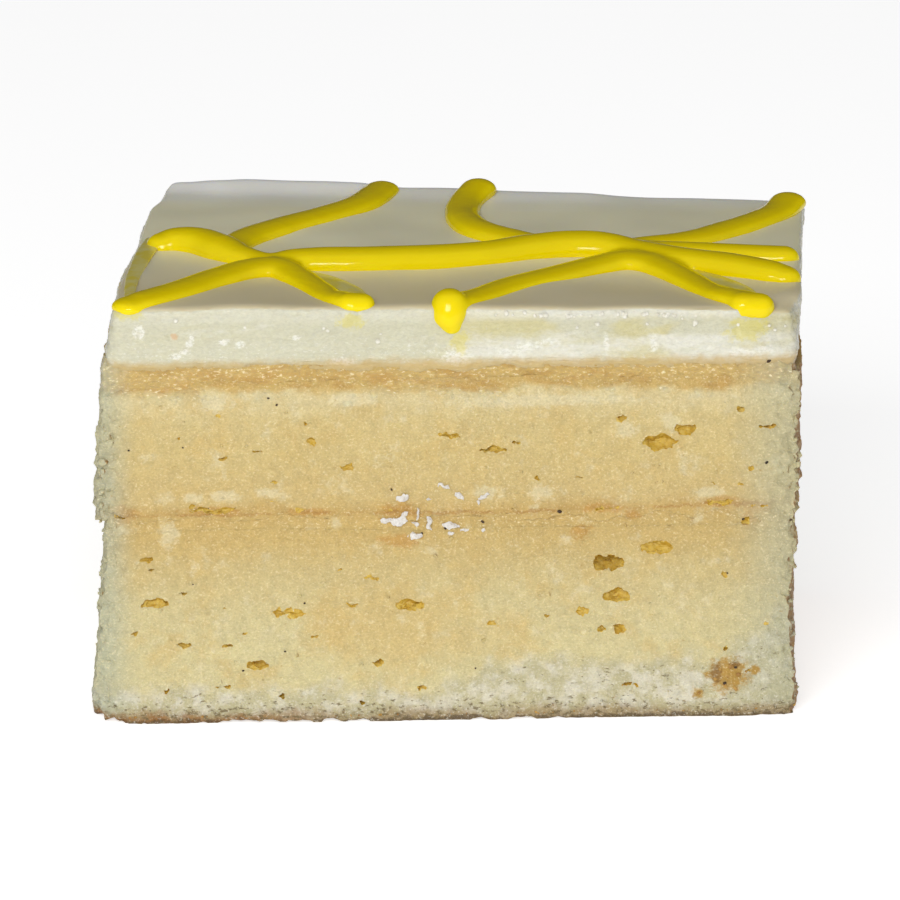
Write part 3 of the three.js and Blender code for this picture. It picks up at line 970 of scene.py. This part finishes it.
def facing(tree, axis):
    """How much the surface faces along an axis, from -1 to 1."""
    normal = add(tree, "NewGeometry", {}).outputs["Normal"]
    return add(tree, "SeparateXYZ", {0: normal}).outputs[axis]


def bumped(tree, strength, depth, surface):
    """The shading of a fine relief, its depth in millimetres."""
    sockets = {"Strength": strength, "Distance": depth * MM, "Height": surface}
    return add(tree, "Bump", sockets).outputs["Normal"]


def soft_inside(weight, tint, depth):
    """What lets light into a finish, to a depth in millimetres."""
    return {"Subsurface Weight": weight, "Subsurface Radius": tint, "Subsurface Scale": depth * MM}


def noise(tree, place, size, detail=2.0, roughness=0.5):
    """Soft lumps about size millimetres across, from 0 to 1."""
    sockets = {"Vector": place, "Scale": 1 / (size * MM), "Detail": detail, "Roughness": roughness}
    return add(tree, "TexNoise", sockets).outputs["Fac"]


def maths(tree, operation, first, second=0.0, third=0.0):
    return add(tree, "Math", {0: first, 1: second, 2: third}, operation=operation).outputs[0]


def plus(tree, first, second):
    return maths(tree, "ADD", first, second)


def times(tree, first, second):
    return maths(tree, "MULTIPLY", first, second)


def larger(tree, first, second):
    return maths(tree, "MAXIMUM", first, second)


def wander(tree, place, size, reach, detail=4.0):
    """A noise that goes from minus to plus a reach in millimetres."""
    return maths(tree, "MULTIPLY_ADD", noise(tree, place, size, detail, 0.62), 2 * reach * MM, -reach * MM)


def spread(tree, value, low, high, start=0.0, end=1.0):
    """Stretches a range of a value to another range, softly at both ends, and keeps it there."""
    sockets = {"Value": value, "From Min": low, "From Max": high, "To Min": start, "To Max": end}
    return add(tree, "MapRange", sockets, interpolation_type="SMOOTHSTEP").outputs["Result"]


def mixed(tree, amount, first, second, blend="MIX"):
    sockets = {0: amount, 6: first, 7: second}
    return add(tree, "Mix", sockets, data_type="RGBA", blend_type=blend).outputs[2]


def shaded(tree, colour, shade):
    """Makes a colour darker or lighter by a factor."""
    factor = add(tree, "CombineXYZ", {0: shade, 1: shade, 2: shade}).outputs[0]
    return mixed(tree, 1.0, colour, factor, "MULTIPLY")


def away_from(tree, place, centre, radii):
    """How far a point is from a spot's middle: 1 at its rim."""
    offset = add(tree, "VectorMath", {0: place, 1: at(*centre)}, operation="SUBTRACT").outputs[0]
    shares = [1 / (radius * MM) for radius in radii]
    scaled = add(tree, "VectorMath", {0: offset, 1: shares}, operation="MULTIPLY").outputs[0]
    return add(tree, "VectorMath", {0: scaled}, operation="LENGTH").outputs["Value"]


def patches(tree, place, spots, raggedness=1.1):
    """A mask of ragged spots on the cut face: each is across, height, half width and half height."""
    ragged = maths(tree, "MULTIPLY_ADD", noise(tree, place, raggedness, 5, 0.7), 2.4, -1.2)
    mask = 0.0
    for x, z, wide, tall in spots:
        away = away_from(tree, place, on_face(x, z), (wide, 4.0, tall))
        mask = larger(tree, mask, spread(tree, plus(tree, away, ragged), 1.15, 0.5))
    return mask


def ramp(tree, value, stops, span):
    """A colour by height: stops are pairs of a height and a colour."""
    node = add(tree, "ValToRGB", {"Fac": maths(tree, "DIVIDE", value, span * MM)})
    elements = node.color_ramp.elements
    for element, (height, colour) in zip(elements, (stops[0], stops[-1])):
        element.position = height / span
        element.color = colour
    for height, colour in stops[1:-1]:
        element = elements.new(height / span)
        element.color = colour
    return node.outputs["Color"]


# Colours of the crumb by height in millimetres, of its marks, of its painted glints and shade, of the curd
# and of the crust
CRUMB_BY_HEIGHT = [
    (0.0, srgb(208, 196, 146)), (9.0, srgb(208, 196, 146)), (16.0, srgb(206, 191, 139)),
    (21.0, srgb(203, 182, 124)), (24.5, srgb(200, 173, 108)), (27.6, srgb(198, 168, 101)),
    (28.8, srgb(196, 164, 97)), (30.4, srgb(204, 179, 118)), (36.0, srgb(206, 183, 121)),
    (41.0, srgb(207, 186, 127)), (44.0, srgb(214, 197, 146)), (46.0, srgb(212, 194, 142)),
]
DRY_CRUMB = srgb(190, 182, 144)
WHITE_CRUMB = srgb(212, 206, 184)
GOLDEN_CRUMB = srgb(206, 176, 106)
PALE_CRUMB = srgb(222, 210, 170)
CURD_GOLD = srgb(201, 169, 98)
CURD_AMBER = srgb(187, 146, 72)
SYRUP_STAIN = srgb(190, 140, 58)
# Syrup brown and painted shadow for the seam's line
SEAM_SYRUP_AND_SHADOW = srgb(166, 118, 46)
# Painted shade in small tears and pores
TEAR_SHADOW = srgb(112, 96, 58)
# Golden crumb of small pits, darkened by painted shade
PIT_GOLD_AND_SHADE = srgb(168, 134, 66)
TOASTED = srgb(178, 138, 52)
SCORCHED = srgb(120, 78, 22)
CRUST_BROWN = srgb(134, 90, 42)
CRUST_TAN = srgb(172, 126, 68)
BROWN_FOOT = srgb(146, 98, 32)
DUSKY_FOOT = srgb(140, 124, 82)
DARK_FOOT = srgb(72, 52, 22)
# Painted glints for wet and dry crumb
WET_GLINT_PAINT = srgb(244, 230, 186)
DRY_GLINT_PAINT = srgb(236, 232, 216)
HOLE_GOLD = srgb(208, 172, 66)
HOLE_PALE = srgb(218, 190, 102)
# Painted shade for the hole walls that face down
HOLE_ROOF_SHADE = srgb(180, 138, 30)

# Spots on the cut face: across, height, half width and half height in millimetres
SYRUP_STAINS = [
    (-6.2, 28.7, 2.8, 1.3), (-6.0, 24.8, 3.0, 1.2), (36.1, 30.3, 3.2, 0.8), (40.8, 29.5, 2.2, 1.0),
    (24.3, 28.4, 1.2, 0.9), (17.7, 25.9, 1.6, 1.0), (20.5, 29.3, 2.8, 0.7), (-30.5, 28.8, 4.2, 0.7),
    (-17.5, 28.6, 3.2, 0.7), (-42.0, 28.4, 2.0, 1.6), (39.6, 28.2, 1.2, 1.6),
]
TOASTED_SPOTS = [(37.2, 6.6, 3.0, 2.6), (33.2, 4.0, 0.9, 0.9), (40.4, 7.2, 1.0, 0.7)]
SCORCHED_SPOTS = [(35.6, 6.8, 0.8, 1.5), (37.8, 8.0, 0.8, 0.6)]
PALE_PATCHES = [
    (-29.9, 43.2, 2.6, 1.4), (13.0, 43.9, 14.0, 1.0), (-28.8, 30.8, 2.4, 0.9), (12.2, 31.4, 2.0, 1.2),
    (23.4, 40.2, 1.7, 1.4), (29.1, 41.3, 1.5, 1.4), (-36.0, 25.5, 1.4, 2.0), (-12.0, 43.8, 4.0, 1.0),
    (-33.0, 30.6, 1.6, 0.8), (-23.0, 31.2, 2.0, 0.8), (34.0, 31.6, 2.2, 0.9), (5.4, 31.6, 2.4, 1.0),
]

# Golden zones in the same terms, and how strong each is
GOLDEN_ZONES = [(-7.0, 13.0, 13.0, 8.0, 0.6), (5.0, 12.0, 9.0, 5.0, 0.3), (-24.0, 25.0, 22.0, 4.0, 0.3)]

# Painted cool light and shade on the rounding of the front corners: left or right, how wide it reaches, and
# its colour
COOL_EDGE_LIGHT = [(0, 5.5, srgb(180, 183, 158)), (1, 11.0, srgb(185, 182, 150))]


def golden_crumb(tree, place, height):
    """The crumb's colour by height, with golden zones and pale patches."""
    rise = plus(tree, height, wander(tree, place, 7, 2.5))
    colour = ramp(tree, rise, CRUMB_BY_HEIGHT, ICING_TOP)
    golden = spread(tree, noise(tree, place, 5.5, 4, 0.6), 0.48, 0.68, 0, 0.5)
    colour = mixed(tree, golden, colour, GOLDEN_CRUMB)
    ragged = maths(tree, "MULTIPLY_ADD", noise(tree, place, 4.0, 4, 0.65), 1.2, -0.6)
    for x, z, wide, tall, share in GOLDEN_ZONES:
        zone = plus(tree, away_from(tree, place, on_face(x, z), (wide, 12.0, tall)), ragged)
        colour = mixed(tree, spread(tree, zone, 1.1, 0.3, 0, share), colour, GOLDEN_CRUMB)
    pale = spread(tree, noise(tree, elsewhere(tree, place), 3.0, 4, 0.65), 0.54, 0.74, 0, 0.6)
    pale = larger(tree, pale, times(tree, patches(tree, place, PALE_PATCHES), 0.6))
    return mixed(tree, pale, colour, PALE_CRUMB)


def syrup_and_seam(tree, place, across, height, colour):
    """Syrup stains, and the broken line of the seam, syrup brown with a painted shadow under its ledge, which
    rises a little towards the right.
    """
    syrup = times(tree, patches(tree, place, SYRUP_STAINS), 0.6)
    colour = mixed(tree, syrup, colour, SYRUP_STAIN)
    seam = spread(tree, across, 0, 42 * MM, SEAM * MM, (SEAM + 0.6) * MM)
    seam = plus(tree, seam, wander(tree, place, 2.2, 0.9))
    away = maths(tree, "ABSOLUTE", maths(tree, "SUBTRACT", height, seam))
    broken = spread(tree, noise(tree, elsewhere(tree, place), 5.0, 3), 0.42, 0.58, 0.1, 0.55)
    # The seam's line: syrup brown with a painted shadow under its ledge
    line = times(tree, spread(tree, away, 0.32 * MM, 0.08 * MM), broken)
    return mixed(tree, line, colour, SEAM_SYRUP_AND_SHADOW)


def curd_colour(tree, place, height, colour):
    """Gold and amber curd, from its ragged lower edge upwards."""
    rise = plus(tree, height, wander(tree, streaky(tree, place, 0.6), 3.0, 1.6))
    amber = noise(tree, streaky(tree, elsewhere(tree, place), 0.4), 1.6, 4, 0.6)
    curd = mixed(tree, spread(tree, amber, 0.42, 0.66, 0, 0.7), CURD_GOLD, CURD_AMBER)
    share = spread(tree, rise, (CURD_BOTTOM - 0.8) * MM, (CURD_BOTTOM + 0.4) * MM)
    return mixed(tree, share, colour, curd)


def dry_share(tree, place, across, height):
    """How dry the crumb is: 1 in the pale foot, which reaches higher towards the right."""
    middle_rise = spread(tree, across, 1 * MM, 5 * MM, 0, 3.2 * MM)
    right_rise = spread(tree, across, 33 * MM, 45 * MM, 0, 7.0 * MM)
    top = plus(tree, plus(tree, middle_rise, right_rise), 4.6 * MM)
    rise = plus(tree, height, wander(tree, place, 3.5, 3.5))
    return spread(tree, maths(tree, "SUBTRACT", rise, top), 1.7 * MM, -1.7 * MM)


def painted_edge_light(tree, place, colour):
    """Greyer towards the front corners: painted cool light and shade on their rounding."""
    middle = CURD_BOTTOM / 2
    for right, wide, light_tint in COOL_EDGE_LIGHT:
        corner = plan_corner(right, 0, middle)
        edge = away_from(tree, place, (corner.x, corner.y, middle), (wide, 12, 90))
        colour = mixed(tree, spread(tree, edge, 1.0, 0.1, 0, 0.75), colour, light_tint)
    return colour


def foot_colour(tree, place, across, height, colour):
    """A dusky foot with a broken dark line, and browned patches that are strongest at the left."""
    colour = mixed(tree, spread(tree, height, 2.6 * MM, 0.2 * MM, 0, 0.6), colour, DUSKY_FOOT)
    rise = plus(tree, height, wander(tree, place, 4.0, 2.6))
    left = spread(tree, across, -34 * MM, -12 * MM, 1.0, 0.35)
    brown = times(tree, spread(tree, rise, 2.0 * MM, 0.2 * MM, 0, 0.95), left)
    colour = mixed(tree, brown, colour, BROWN_FOOT)
    line = plus(tree, height, wander(tree, place, 1.0, 1.1))
    return mixed(tree, spread(tree, line, 0.7 * MM, 0.1 * MM, 0, 0.8), colour, DARK_FOOT)


def crumb_colour(tree, place):
    """Colour of the crumb by its place, how dry it is, its height, and how much of it is open, not crust."""
    across, _, height = add(tree, "SeparateXYZ", {0: place}).outputs
    colour = golden_crumb(tree, place, height)
    colour = syrup_and_seam(tree, place, across, height, colour)
    colour = curd_colour(tree, place, height, colour)
    dry = dry_share(tree, place, across, height)
    white = spread(tree, noise(tree, elsewhere(tree, place), 2.2, 3, 0.6), 0.42, 0.64)
    colour = mixed(tree, dry, colour, mixed(tree, white, DRY_CRUMB, WHITE_CRUMB))
    colour = painted_edge_light(tree, place, colour)
    colour = foot_colour(tree, place, across, height, colour)
    toasted = patches(tree, place, TOASTED_SPOTS)
    colour = mixed(tree, times(tree, toasted, 0.95), colour, TOASTED)
    scorched = times(tree, patches(tree, place, SCORCHED_SPOTS), 0.6)
    colour = mixed(tree, scorched, colour, SCORCHED)
    dry = times(tree, dry, spread(tree, toasted, 0.2, 0.6, 1, 0))
    outer = spread(tree, facing(tree, X), 0.6, 0.9, 0, 0.85)
    crust = mixed(tree, spread(tree, noise(tree, place, 1.2, 5, 0.7), 0.3, 0.7), CRUST_BROWN, CRUST_TAN)
    return mixed(tree, outer, colour, crust), dry, height, maths(tree, "SUBTRACT", 1.0, outer)


def crumb_finish(name, wet):
    """Open cake crumb: fine grains with painted wet glints between them, and dark tears, painted shade in
    small pores, where it is dry.
    """
    finish, tree, shader, place = new_finish(name)
    colour, dry, height, open_crumb = crumb_colour(tree, place)
    # Painted shade in small tears and pores where the crumb is dry
    tear = noise(tree, streaky(tree, place, 0.5), 0.45, 3, 0.65)
    low = spread(tree, height, 5 * MM, 0.5 * MM, -0.04, 0.05)
    tear_shadows = spread(tree, plus(tree, tear, low), 0.58, 0.68)
    tear_shadows = times(tree, tear_shadows, times(tree, dry, 0.85))
    colour = mixed(tree, tear_shadows, colour, TEAR_SHADOW)
    # Small pits: golden crumb darkened by painted shade
    pits = noise(tree, stretched(tree, place, (0.6, 0.6, 1), (0.07, 0.03, 0.02)), 0.7, 4, 0.7)
    colour = mixed(tree, spread(tree, pits, 0.64, 0.74, 0, 0.6), colour, PIT_GOLD_AND_SHADE)
    mottle = noise(tree, place, 1.3, 3, 0.6)
    colour = shaded(tree, colour, spread(tree, mottle, 0.3, 0.7, 0.93, 1.04))
    grain = noise(tree, streaky(tree, place, 0.8), 0.26, 2, 0.7)
    colour = shaded(tree, colour, spread(tree, grain, 0.28, 0.54, 0.86, 1.0))
    # Painted glints: bright flecks between the grains
    light = times(tree, spread(tree, grain, 0.56, 0.7, 0, 0.42 + 0.25 * wet), open_crumb)
    surface = maths(tree, "MULTIPLY_ADD", tear_shadows, -0.5, plus(tree, grain, mottle))
    fill(tree, shader, {
        "Base Color": mixed(tree, light, colour, mixed(tree, dry, WET_GLINT_PAINT, DRY_GLINT_PAINT)),
        "Roughness": spread(tree, grain, 0.5, 0.66, 0.6, 0.35 - 0.1 * wet),
        "Normal": bumped(tree, 0.5, 0.3, surface),
        **soft_inside(0.25, (1.0, 0.75, 0.4), 1.2),
    })
    return finish


def hole_finish():
    """Moist golden crumb inside the air holes, with painted shade on the walls that face down."""
    finish, tree, shader, place = new_finish("golden_hole_wall")
    tone = spread(tree, noise(tree, place, 0.6, 4, 0.65), 0.3, 0.7)
    # Painted shade: the walls that face down are darker
    painted_roof_shade = spread(tree, facing(tree, Z), 0.1, -0.7, 0, 0.75)
    fill(tree, shader, {
        "Base Color": mixed(tree, painted_roof_shade, mixed(tree, tone, HOLE_GOLD, HOLE_PALE), HOLE_ROOF_SHADE),
        "Roughness": 0.5,
        "Specular IOR Level": 0.2,
        "Normal": bumped(tree, 0.5, 0.3, noise(tree, place, 0.4, 2, 0.6)),
        **soft_inside(0.3, (1.0, 0.85, 0.3), 1.0),
    })
    return finish


def curd_finish():
    """Wet golden curd with fine glints, partly painted into its colour and partly from its gloss; it shares
    the crumb's colour where the two meet.
    """
    finish, tree, shader, place = new_finish("wet_golden_curd")
    colour, *_ = crumb_colour(tree, place)
    streaks = noise(tree, streaky(tree, place, 0.5), 0.32, 3, 0.65)
    colour = shaded(tree, colour, spread(tree, streaks, 0.3, 0.55, 0.8, 1.02))
    fill(tree, shader, {
        # Painted glints along the streaks
        "Base Color": mixed(tree, spread(tree, streaks, 0.55, 0.71, 0, 0.8), colour, WET_GLINT_PAINT),
        "Roughness": spread(tree, streaks, 0.4, 0.62, 0.3, 0.12),
        "Normal": bumped(tree, 0.6, 0.3, streaks),
        **soft_inside(0.3, (1.0, 0.65, 0.25), 2.0),
    })
    return finish


# Colours of the icing, of the piped strands and of the thin films
ICING_CREAM = srgb(207, 204, 178)
ICING_YELLOW = srgb(207, 199, 152)
# Whiter icing, which also paints highlights and glints on the cut face
ICING_WHITE_AND_SHEEN = srgb(226, 224, 211)
# Painted glints on the cut face
ICING_GLINT = srgb(246, 245, 238)
ICING_CROWN = srgb(246, 240, 206)
ICING_TAN = srgb(224, 212, 176)
PURE_WHITE = srgb(255, 255, 255)
LEMON_TINT = srgb(220, 208, 96)
ORANGE_DOT = srgb(220, 168, 110)
LEMON_DEEP = srgb(240, 214, 0)
LEMON_BRIGHT = srgb(248, 226, 0)
# Painted shade for where the strands lie level
LEMON_TOP_SHADE = srgb(216, 190, 0)
GLAZE_YELLOW = srgb(224, 206, 78)
GLAZE_PALE = srgb(224, 213, 132)

# Marks on the icing's cut face, in the terms of the crumb's spots: painted glints, lemon tints and an orange
# dot
PAINTED_GLINT_SMEARS = [
    (-39.6, 53.0, 0.8, 0.9), (-34.8, 49.8, 1.0, 0.5), (-33.8, 50.4, 0.8, 0.5), (-33.1, 51.4, 0.6, 0.7),
    (-32.8, 52.3, 0.4, 0.6), (-28.7, 51.7, 0.9, 0.45), (-26.5, 51.4, 0.9, 0.45), (-19.4, 52.4, 0.8, 0.4),
    (-13.2, 49.0, 1.6, 0.8), (1.4, 49.9, 2.2, 1.5), (8.0, 50.5, 1.8, 0.7), (10.4, 51.4, 2.0, 0.7),
    (13.2, 52.0, 1.6, 0.5), (20.8, 51.7, 0.5, 1.3), (26.9, 51.8, 0.6, 1.3), (38.4, 50.8, 1.9, 0.6),
    (41.4, 51.2, 1.5, 0.6),
]
LEMON_TINTS = [
    (39.2, 53.8, 3.0, 1.8), (-12.0, 54.6, 2.0, 1.2), (1.8, 51.8, 1.4, 1.6), (-41.2, 55.4, 2.4, 1.0),
]
ORANGE_DOTS = [(-35.1, 52.5, 0.5, 0.5)]


def icing_sides(tree, place, across, height):
    """Cream of the cut sides, yellower at the right, with a whiter lip and streaks, partly painted highlight,
    a painted highlight along the rim, and painted glints in smears and wet grains.
    """
    right_half = spread(tree, across, -5 * MM, 4 * MM, 0.1, 1)
    yellow = spread(tree, noise(tree, streaky(tree, place, 0.5), 4, 3), 0.42, 0.62)
    colour = mixed(tree, times(tree, yellow, right_half), ICING_CREAM, ICING_YELLOW)
    smear = noise(tree, streaky(tree, place, 0.25), 2.4, 5, 0.6)
    lip = plus(tree, height, wander(tree, streaky(tree, place, 0.35), 2.6, 2.8, 5))
    # The whiter lip low on the right: whiter icing, partly a painted highlight
    low = times(tree, spread(tree, lip, (ICING_TOP - 3.4) * MM, (ICING_TOP - 4.8) * MM), right_half)
    low = times(tree, low, spread(tree, smear, 0.35, 0.6, 0.25, 0.85))
    # Painted highlight along the rounded rim under the top
    painted_rim_highlight = spread(tree, height, (ICING_TOP - 2.4) * MM, (ICING_TOP - 1.0) * MM, 0, 0.7)
    painted_rim_highlight = times(tree, painted_rim_highlight, spread(tree, across, -5 * MM, 4 * MM, 0.4, 1))
    grain = noise(tree, streaky(tree, place, 0.5), 0.26, 3, 0.7)
    # Painted glints in the smears
    painted_smear_glints = times(tree, patches(tree, place, PAINTED_GLINT_SMEARS, 0.6), spread(tree, grain, 0.36, 0.56, 0.2, 1))
    streaks_and_glints = larger(tree, times(tree, painted_smear_glints, 0.7), spread(tree, smear, 0.6, 0.7, 0, 0.4))
    # Painted wet glints, more of them lower down
    wet = spread(tree, noise(tree, streaky(tree, place, 0.6), 0.3, 3, 0.65), 0.56, 0.68)
    wet = times(tree, wet, spread(tree, lip, (ICING_TOP - 2.2) * MM, (ICING_TOP - 6.2) * MM, 0.1, 0.8))
    white = larger(tree, larger(tree, low, painted_rim_highlight), larger(tree, streaks_and_glints, wet))
    colour = mixed(tree, white, colour, ICING_WHITE_AND_SHEEN)
    colour = mixed(tree, times(tree, painted_smear_glints, 0.4), colour, ICING_GLINT)
    colour = shaded(tree, colour, spread(tree, grain, 0.3, 0.62, 0.93, 1.03))
    rise = plus(tree, height, wander(tree, place, 1.8, 0.9))
    into_curd = spread(tree, rise, (ICING_BOTTOM + 1.7) * MM, ICING_BOTTOM * MM, 0, 0.8)
    colour = mixed(tree, into_curd, colour, CURD_GOLD)
    colour = mixed(tree, times(tree, patches(tree, place, LEMON_TINTS), 0.55), colour, LEMON_TINT)
    return mixed(tree, times(tree, patches(tree, place, ORANGE_DOTS), 0.5), colour, ORANGE_DOT)


def icing_crown(tree, place, back):
    """Cream of the icing's top, tan towards the cut face, with a painted highlight that whitens it towards
    the back rim.
    """
    crown = mixed(tree, spread(tree, back, 0, -24 * MM), ICING_CROWN, ICING_TAN)
    # Painted highlight towards the back rim
    pale = plus(tree, back, wander(tree, stretched(tree, place, (0.2, 1, 1)), 5.0, 5.0))
    return mixed(tree, spread(tree, pale, 17 * MM, 31 * MM, 0, 0.8), crown, PURE_WHITE)


def icing_finish():
    """Soft white icing, wet on the cut sides and satin on top."""
    finish, tree, shader, place = new_finish("soft_white_icing")
    across, back, height = add(tree, "SeparateXYZ", {0: place}).outputs
    level = spread(tree, facing(tree, Z), 0.5, 0.85)
    sides = icing_sides(tree, place, across, height)
    ripple = noise(tree, streaky(tree, place, 0.5), 0.6, 4, 0.75)
    ripple = times(tree, ripple, spread(tree, level, 0, 1, 1.0, 0.1))
    fill(tree, shader, {
        "Base Color": mixed(tree, level, sides, icing_crown(tree, place, back)),
        "Roughness": spread(tree, level, 0, 1, 0.16, 0.36),
        "Normal": bumped(tree, 0.6, 0.4, ripple),
        **soft_inside(0.4, (1.0, 0.85, 0.55), 2.0),
    })
    return finish


def strand_finish():
    """Glossy lemon icing, with painted shade that darkens it where it lies level."""
    finish, tree, shader, place = new_finish("glossy_lemon_icing")
    colour = mixed(tree, noise(tree, place, 6, 3), LEMON_DEEP, LEMON_BRIGHT)
    # Painted shade where the strand faces up
    level = spread(tree, facing(tree, Z), 0.7, 0.97, 0, 0.5)
    fill(tree, shader, {
        "Base Color": mixed(tree, level, colour, LEMON_TOP_SHADE),
        "Roughness": 0.1,
        "Specular IOR Level": 0.25,
        "Normal": bumped(tree, 0.12, 0.5, noise(tree, place, 2.5, 2)),
        **soft_inside(0.2, (1.0, 0.8, 0.05), 1.0),
    })
    return finish


def film_finish():
    """A thin glaze of lemon icing with the white showing through."""
    finish, tree, shader, place = new_finish("thin_lemon_glaze")
    tone = spread(tree, noise(tree, place, 2.0, 3), 0.35, 0.65)
    fill(tree, shader, {"Base Color": mixed(tree, tone, GLAZE_YELLOW, GLAZE_PALE), "Roughness": 0.22})
    return finish


# Finishes of the small things: a light and a dark tone, the size of their grains, and roughness
SMALL_FINISHES = {
    "icing_bubble": (srgb(236, 233, 222), srgb(224, 219, 200), 0.4, 0.15),
    "white_flake": (srgb(232, 229, 224), srgb(212, 206, 198), 0.8, 0.45),
    "dark_speck": (srgb(74, 52, 30), srgb(36, 26, 18), 0.5, 0.6),
    "toasted_crumb": (srgb(188, 148, 72), srgb(138, 94, 40), 0.9, 0.5),
}


def small_finish(name):
    finish, tree, shader, place = new_finish(name)
    light, dark, grain, roughness = SMALL_FINISHES[name]
    tone = spread(tree, noise(tree, place, grain, 4, 0.65), 0.3, 0.7)
    fill(tree, shader, {
        "Base Color": mixed(tree, tone, light, dark),
        "Roughness": roughness,
        "Normal": bumped(tree, 0.4, 0.2, noise(tree, place, 0.3, 3, 0.6)),
    })
    return finish


SHARP_FOLD = math.radians(55)


def dress(piece, slot, *nodes):
    """Smooths a piece's shading except over sharp folds, and gives it its place in the frame."""
    only(piece)
    bpy.ops.object.shade_smooth_by_angle(angle=SHARP_FOLD)
    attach(piece, "root")
    if nodes:
        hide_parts(*nodes)


# Light, floor and camera

def softbox(name, azimuth, elevation, distance, width, height, watts):
    """A lamp that faces the slice; azimuth 0 is straight in front."""
    target = at(*VIEW_TARGET)
    turn = math.radians(azimuth)
    rise = math.radians(elevation)
    away = Vector((math.sin(turn) * math.cos(rise), -math.cos(turn) * math.cos(rise), math.sin(rise)))
    bpy.ops.object.light_add(type="AREA", location=target + away * distance)
    lamp = bpy.context.object
    lamp.name = name
    lamp.rotation_euler = away.to_track_quat("Z", "Y").to_euler()
    lamp.data.shape = "RECTANGLE"
    lamp.data.size = width
    lamp.data.size_y = height
    lamp.data.energy = watts


def room_light():
    """Light from all round, dimmer from behind the slice."""
    world = bpy.data.worlds.new("studio")
    world.use_nodes = True
    tree = world.node_tree
    direction = add(tree, "TexCoord", {}).outputs["Generated"]
    behind = add(tree, "SeparateXYZ", {0: direction}).outputs[Y]
    strength = spread(tree, behind, -0.3, 0.7, 0.42, 0.04)
    fill(tree, tree.nodes["Background"], {"Color": PURE_WHITE, "Strength": strength})
    bpy.context.scene.world = world


# The floor's span in metres, and how far it lies under the foot in millimetres
FLOOR_SPAN = 6
FLOOR_DROP = 0.05


def pale_floor():
    """A floor that glows a little, and a little more to the eye than it lights the slice."""
    bpy.ops.mesh.primitive_plane_add(size=FLOOR_SPAN, location=(0, 0, -FLOOR_DROP * MM))
    floor = bpy.context.object
    floor.name = "floor"
    finish, tree, shader, _ = new_finish("pale_floor")
    seen = add(tree, "LightPath", {}).outputs["Is Camera Ray"]
    fill(tree, shader, {
        "Base Color": srgb(246, 246, 246),
        "Roughness": 0.9,
        "Emission Color": PURE_WHITE,
        "Emission Strength": spread(tree, seen, 0, 1, 0.45, 0.62),
    })
    floor.data.materials.append(finish)


def studio():
    pale_floor()
    softbox("front_softbox", azimuth=-10, elevation=28, distance=0.8, width=0.4, height=0.2, watts=3.2)
    room_light()
    bpy.context.scene.view_settings.view_transform = "Standard"


def camera():
    rise = math.radians(VIEW_ELEVATION)
    target = at(*VIEW_TARGET)
    place = target + Vector((0, -math.cos(rise), math.sin(rise))) * VIEW_DISTANCE
    bpy.ops.object.camera_add(location=place, rotation=(math.pi / 2 - rise, 0, 0))
    eye = bpy.context.object
    eye.data.lens = VIEW_LENS
    eye.data.sensor_width = VIEW_SENSOR
    bpy.context.scene.camera = eye


deselect()
studio()
camera()
dry_crumb = crumb_finish("sponge_crumb", 0)
soaked_crumb = crumb_finish("soaked_crumb", 1)
golden_wall = hole_finish()
lower = lower_sponge(dry_crumb, golden_wall)
filling = soaked_filling(soaked_crumb, golden_wall)
upper = upper_sponge(dry_crumb, golden_wall)
curd = wet_curd(curd_finish())
icing = white_icing(icing_finish())
dress(lower, "lower_sponge", "lower_sponge")
dress(filling, "lemon_filling", "lemon_filling")
dress(upper, "upper_sponge", "upper_sponge")
dress(curd, "lemon_curd", "lemon_curd")
dress(icing, "icing", "icing")
bubbles = icing_bubbles(small_finish("icing_bubble"))
strands = piped("lemon_strands", STRANDS, STRAND_VOXEL, STRAND_SMOOTHING, strand_finish())
films = piped("lemon_films", FILMS, FILM_VOXEL, FILM_SMOOTHING, film_finish())
flakes = white_flakes(small_finish("white_flake"), [filling, upper])
specks = dark_specks(small_finish("dark_speck"), [lower, filling, upper, curd, icing])
crumbs = clinging_crumbs(dry_crumb, [lower, filling, upper])
browned = browned_crumbs(small_finish("toasted_crumb"), [lower])
dress(bubbles, "icing", "icing")
dress(strands, "icing", "icing")
dress(films, "icing", "icing")
dress(flakes, "lemon_filling", "lemon_filling", "upper_sponge")
dress(specks, "upper_sponge")
dress(crumbs, "upper_sponge")
dress(browned, "lower_sponge")
